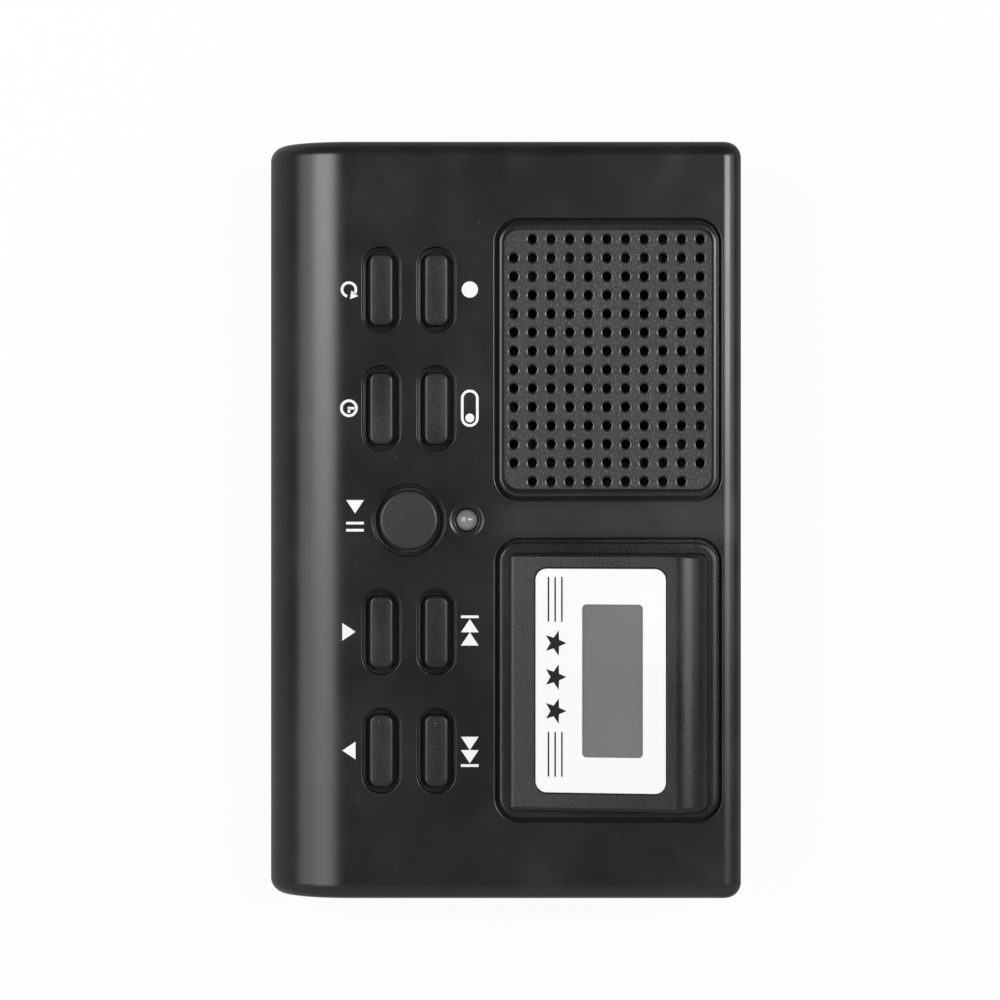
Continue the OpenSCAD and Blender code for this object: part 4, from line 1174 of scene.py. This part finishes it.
class RECORDER_OT_key_mat(RecorderOperator, bpy.types.Operator):
    """Rubber key mat: a sheet, and a dome under each key"""
    bl_idname = "recorder.key_mat"
    bl_label = "Key mat"

    def execute(self, context):
        low, high = box("key_mat")
        thick = 0.7 * MM
        sheet_top = low[2] + thick
        mat = slab(*(high - low)[:2], radius=1.5 * MM, low=low[2], high=sheet_top, soft=0.2 * MM)
        add_piece("mat_sheet", mat, "mat_rubber", "case", ("key_mat",), place=plan("key_mat"))
        for key in KEYS:
            self.dome(key, sheet_top, high[2])
        return {"FINISHED"}

    @staticmethod
    def dome(key, low, high):
        """One dome: a skirt that narrows as a cosine to a flat head under the foot of the key."""
        narrower = 1.4 * MM if key in LONG_KEYS else 3.2 * MM
        soft = 0.1 * MM
        spread = 0.35 * MM
        head = key_span(key) - narrower
        radius = min(head) / 2 - soft
        share = np.linspace(0, 1, 9)
        skirt = np.column_stack([spread * (1 + np.cos(np.pi * share)), low + (high - low - soft) * share])
        section = np.concatenate([skirt, [(-soft, high)]])
        place = plan(key + "_key")
        piece = add_piece(key + "_dome", solid(section, *head, radius), "mat_rubber", "case", place=place)
        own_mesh(piece)


class RECORDER_OT_feet(RecorderOperator, bpy.types.Operator):
    """Four rubber feet with rounded soles"""
    bl_idname = "recorder.feet"
    bl_label = "Feet"

    def execute(self, context):
        low, high = box("rubber_feet")
        radius = 4.5 * MM
        sole = 0.5 * MM
        flat_middle = 0.2 * MM
        section = np.concatenate([[(-radius + flat_middle, low[2])],
                                  arc((-sole, low[2] + sole), sole, -90, 0, 6), [(0.0, high[2])]])
        spots = [(x, y, 0.0) for x in (low[0] + radius, high[0] - radius)
                 for y in (low[1] + radius, high[1] - radius)]
        patches = [repeated(patch, spots) for patch in solid(section, 2 * radius, 2 * radius, radius)]
        add_piece("foot_pads", patches, "foot_rubber", "case", ("rubber_feet",))
        return {"FINISHED"}


class RECORDER_OT_lower_case(RecorderOperator, bpy.types.Operator):
    """Lower case half, battery door and case screws, with softened edges"""
    bl_idname = "recorder.lower_case"
    bl_label = "Lower case"

    def execute(self, context):
        dress("bottom_shell", "case_black", 0.25)
        dress("battery_door", "case_black", 0.2)
        dress("case_screws", "screw_steel", 0.1)
        return {"FINISHED"}


class RECORDER_OT_sockets(RecorderOperator, bpy.types.Operator):
    """Line, phone, power, earphone and card sockets with their contacts"""
    bl_idname = "recorder.sockets"
    bl_label = "Sockets"

    def execute(self, context):
        for node in ("line_jack", "phone_jack", "power_jack", "earphone_jack"):
            dress(node, "socket_black", 0.2)
        dress("jack_contacts", "contact_gold", 0.08)
        dress("card_socket", "frame_steel", 0.1)
        dress("power_pin", "tinned", 0.2)
        return {"FINISHED"}


class RECORDER_OT_inside(RecorderOperator, bpy.types.Operator):
    """Board, display glass, speaker, components and cells inside the case"""
    bl_idname = "recorder.inside"
    bl_label = "Inside"

    def execute(self, context):
        finishes = {
            "main_board": "board_green", "board_screws": "screw_steel", "lcd_panel": "lcd_glass",
            "lcd_backlight": "light_guide", "lcd_ribbon": "ribbon_film", "led_leads": "tinned",
            "speaker_basket": "basket_black", "speaker_cone": "cone_paper", "speaker_magnet": "magnet_iron",
            "speaker_gasket": "foot_rubber", "speaker_leads": "wire_red", "main_chip": "socket_black",
            "memory_chip": "socket_black", "line_transformer": "bobbin_plastic",
            "transformer_core": "magnet_iron", "capacitors": "sleeve_plastic", "crystal": "tinned",
            "battery_cells": "cell_label", "battery_contacts": "tinned"}
        for node, finish in finishes.items():
            dress(node, finish, 0.1)
        return {"FINISHED"}


class RECORDER_OT_stage(RecorderOperator, bpy.types.Operator):
    """Pale floor, soft boxes over the front and the back, a soft surround and the camera over the case"""
    bl_idname = "recorder.stage"
    bl_label = "Stage"

    def execute(self, context):
        scene = context.scene
        scene.view_settings.view_transform = "Standard"
        half = 4.0
        floor = add_object("floor", mesh_from("floor", [fill([bar(-half, half, -half, half)])]))
        floor.data.materials.append(self.floor_material())
        self.surround(scene)
        self.soft_box("front_key", -46, -20, (-0.42, -0.05), 6.3)
        self.soft_box("front_side", -46, -20, (-0.05, 0.36), 2.8)
        self.soft_box("front_fill", -68, -46, (-0.42, 0.30), 1.9)
        self.soft_box("back_key", 15, 46, (-0.22, -0.08), 14.5)
        self.soft_box("back_side", 15, 46, (-0.08, 0.15), 2.7)
        self.soft_box("back_fill", 46, 74, (-0.40, 0.08), 1.3)
        self.camera(scene)
        return {"FINISHED"}

    @staticmethod
    def floor_material():
        """Floor that shows almost white to the camera, little of it in reflections, and takes the shadow."""
        material = bpy.data.materials.new("stage_floor")
        material.use_nodes = True
        tree = material.node_tree
        tree.nodes.clear()
        white = add(tree, "ShaderNodeEmission", {"Color": (1.0, 1.0, 1.0, 1.0), "Strength": 1.0})
        path = add(tree, "ShaderNodeLightPath")
        seen = 0.0
        for ray, share in (("Is Camera Ray", 0.93), ("Is Glossy Ray", 0.1), ("Is Transmission Ray", 0.1)):
            seen = maths(tree, "MAXIMUM", seen, maths(tree, "MULTIPLY", path.outputs[ray], share))
        pale = blend(tree, seen, (*colours().floor, 1.0), (0.85, 0.85, 0.85, 1.0))
        plain = add(tree, "ShaderNodeBsdfDiffuse", {"Color": pale})
        both = add(tree, "ShaderNodeMixShader", {0: seen, 1: plain.outputs[0], 2: white.outputs[0]})
        add(tree, "ShaderNodeOutputMaterial", {"Surface": both.outputs[0]})
        return material

    @staticmethod
    def surround(scene):
        """Soft surround, paler towards the horizon than overhead and palest past the right end."""
        world = bpy.data.worlds.new("surround")
        scene.world = world
        world.use_nodes = True
        tree = world.node_tree
        way = add(tree, "ShaderNodeSeparateXYZ", {0: add(tree, "ShaderNodeTexCoord").outputs["Generated"]})
        level = ranged(tree, way.outputs["Z"], 0.20, 0.06, 0.05, 0.7)
        right = ranged(tree, way.outputs["X"], 0.0, 0.35, 0.05, 0.5)
        tree.links.new(maths(tree, "ADD", level, right), tree.nodes["Background"].inputs["Color"])

    @staticmethod
    def soft_box(name, start, end, reach, level):
        """Rectangular lamp over the case, between two angles from overhead and two places along the case.

        level is its brightness, so its power is level * pi * area.
        """
        distance = 0.95
        middle = math.radians(start + end) / 2
        lamp = bpy.data.lights.new(name, "AREA")
        lamp.shape = "RECTANGLE"
        lamp.size = reach[1] - reach[0]
        lamp.size_y = 2 * distance * math.tan(math.radians(end - start) / 2)
        lamp.energy = level * math.pi * lamp.size * lamp.size_y
        made = bpy.data.objects.new(name, lamp)
        bpy.context.scene.collection.objects.link(made)
        made.location = (sum(reach) / 2, distance * math.sin(middle), distance * math.cos(middle))
        made.rotation_euler = (-middle, 0.0, 0.0)

    @staticmethod
    def camera(scene):
        """Camera straight above, with the back of the case to the right of the picture."""
        size = sizes()
        data = bpy.data.cameras.new("camera")
        data.lens = data.sensor_width * size.camera_distance / size.frame_width
        made = bpy.data.objects.new("camera", data)
        scene.collection.objects.link(made)
        middle = np.array([-3.05, -0.65]) * MM
        made.location = (*middle, roof_top() + size.camera_distance)
        made.rotation_euler = (0.0, 0.0, math.pi / 2)
        scene.camera = made


OPERATORS = (
    RECORDER_OT_stage, RECORDER_OT_upper_case, RECORDER_OT_lower_case, RECORDER_OT_keys, RECORDER_OT_key_mat,
    RECORDER_OT_speaker_grille, RECORDER_OT_display_hood, RECORDER_OT_display_front, RECORDER_OT_marks,
    RECORDER_OT_lamp, RECORDER_OT_feet, RECORDER_OT_sockets, RECORDER_OT_inside)


class RECORDER_PT_panel(bpy.types.Panel):
    """Lists the sizes, the colours and the operators"""
    bl_idname = "RECORDER_PT_panel"
    bl_label = "Call recorder"
    bl_space_type = "VIEW_3D"
    bl_region_type = "UI"
    bl_category = "Recorder"

    def draw(self, context):
        for group_of in (context.scene.recorder_sizes, context.scene.recorder_colours):
            column = self.layout.column(align=True)
            for name in group_of.bl_rna.properties.keys():
                if name not in ("rna_type", "name"):
                    column.prop(group_of, name)
        for operator in OPERATORS:
            self.layout.operator(operator.bl_idname)


CLASSES = (RecorderSizes, RecorderColours) + OPERATORS + (RECORDER_PT_panel,)


def register():
    for made in CLASSES:
        bpy.utils.register_class(made)
    bpy.types.Scene.recorder_sizes = bpy.props.PointerProperty(type=RecorderSizes)
    bpy.types.Scene.recorder_colours = bpy.props.PointerProperty(type=RecorderColours)


def unregister():
    del bpy.types.Scene.recorder_colours
    del bpy.types.Scene.recorder_sizes
    for made in reversed(CLASSES):
        bpy.utils.unregister_class(made)


def main():
    register()
    for operator in OPERATORS:
        getattr(bpy.ops.recorder, operator.bl_idname.split(".")[1])()


if __name__ == "__main__":
    main()
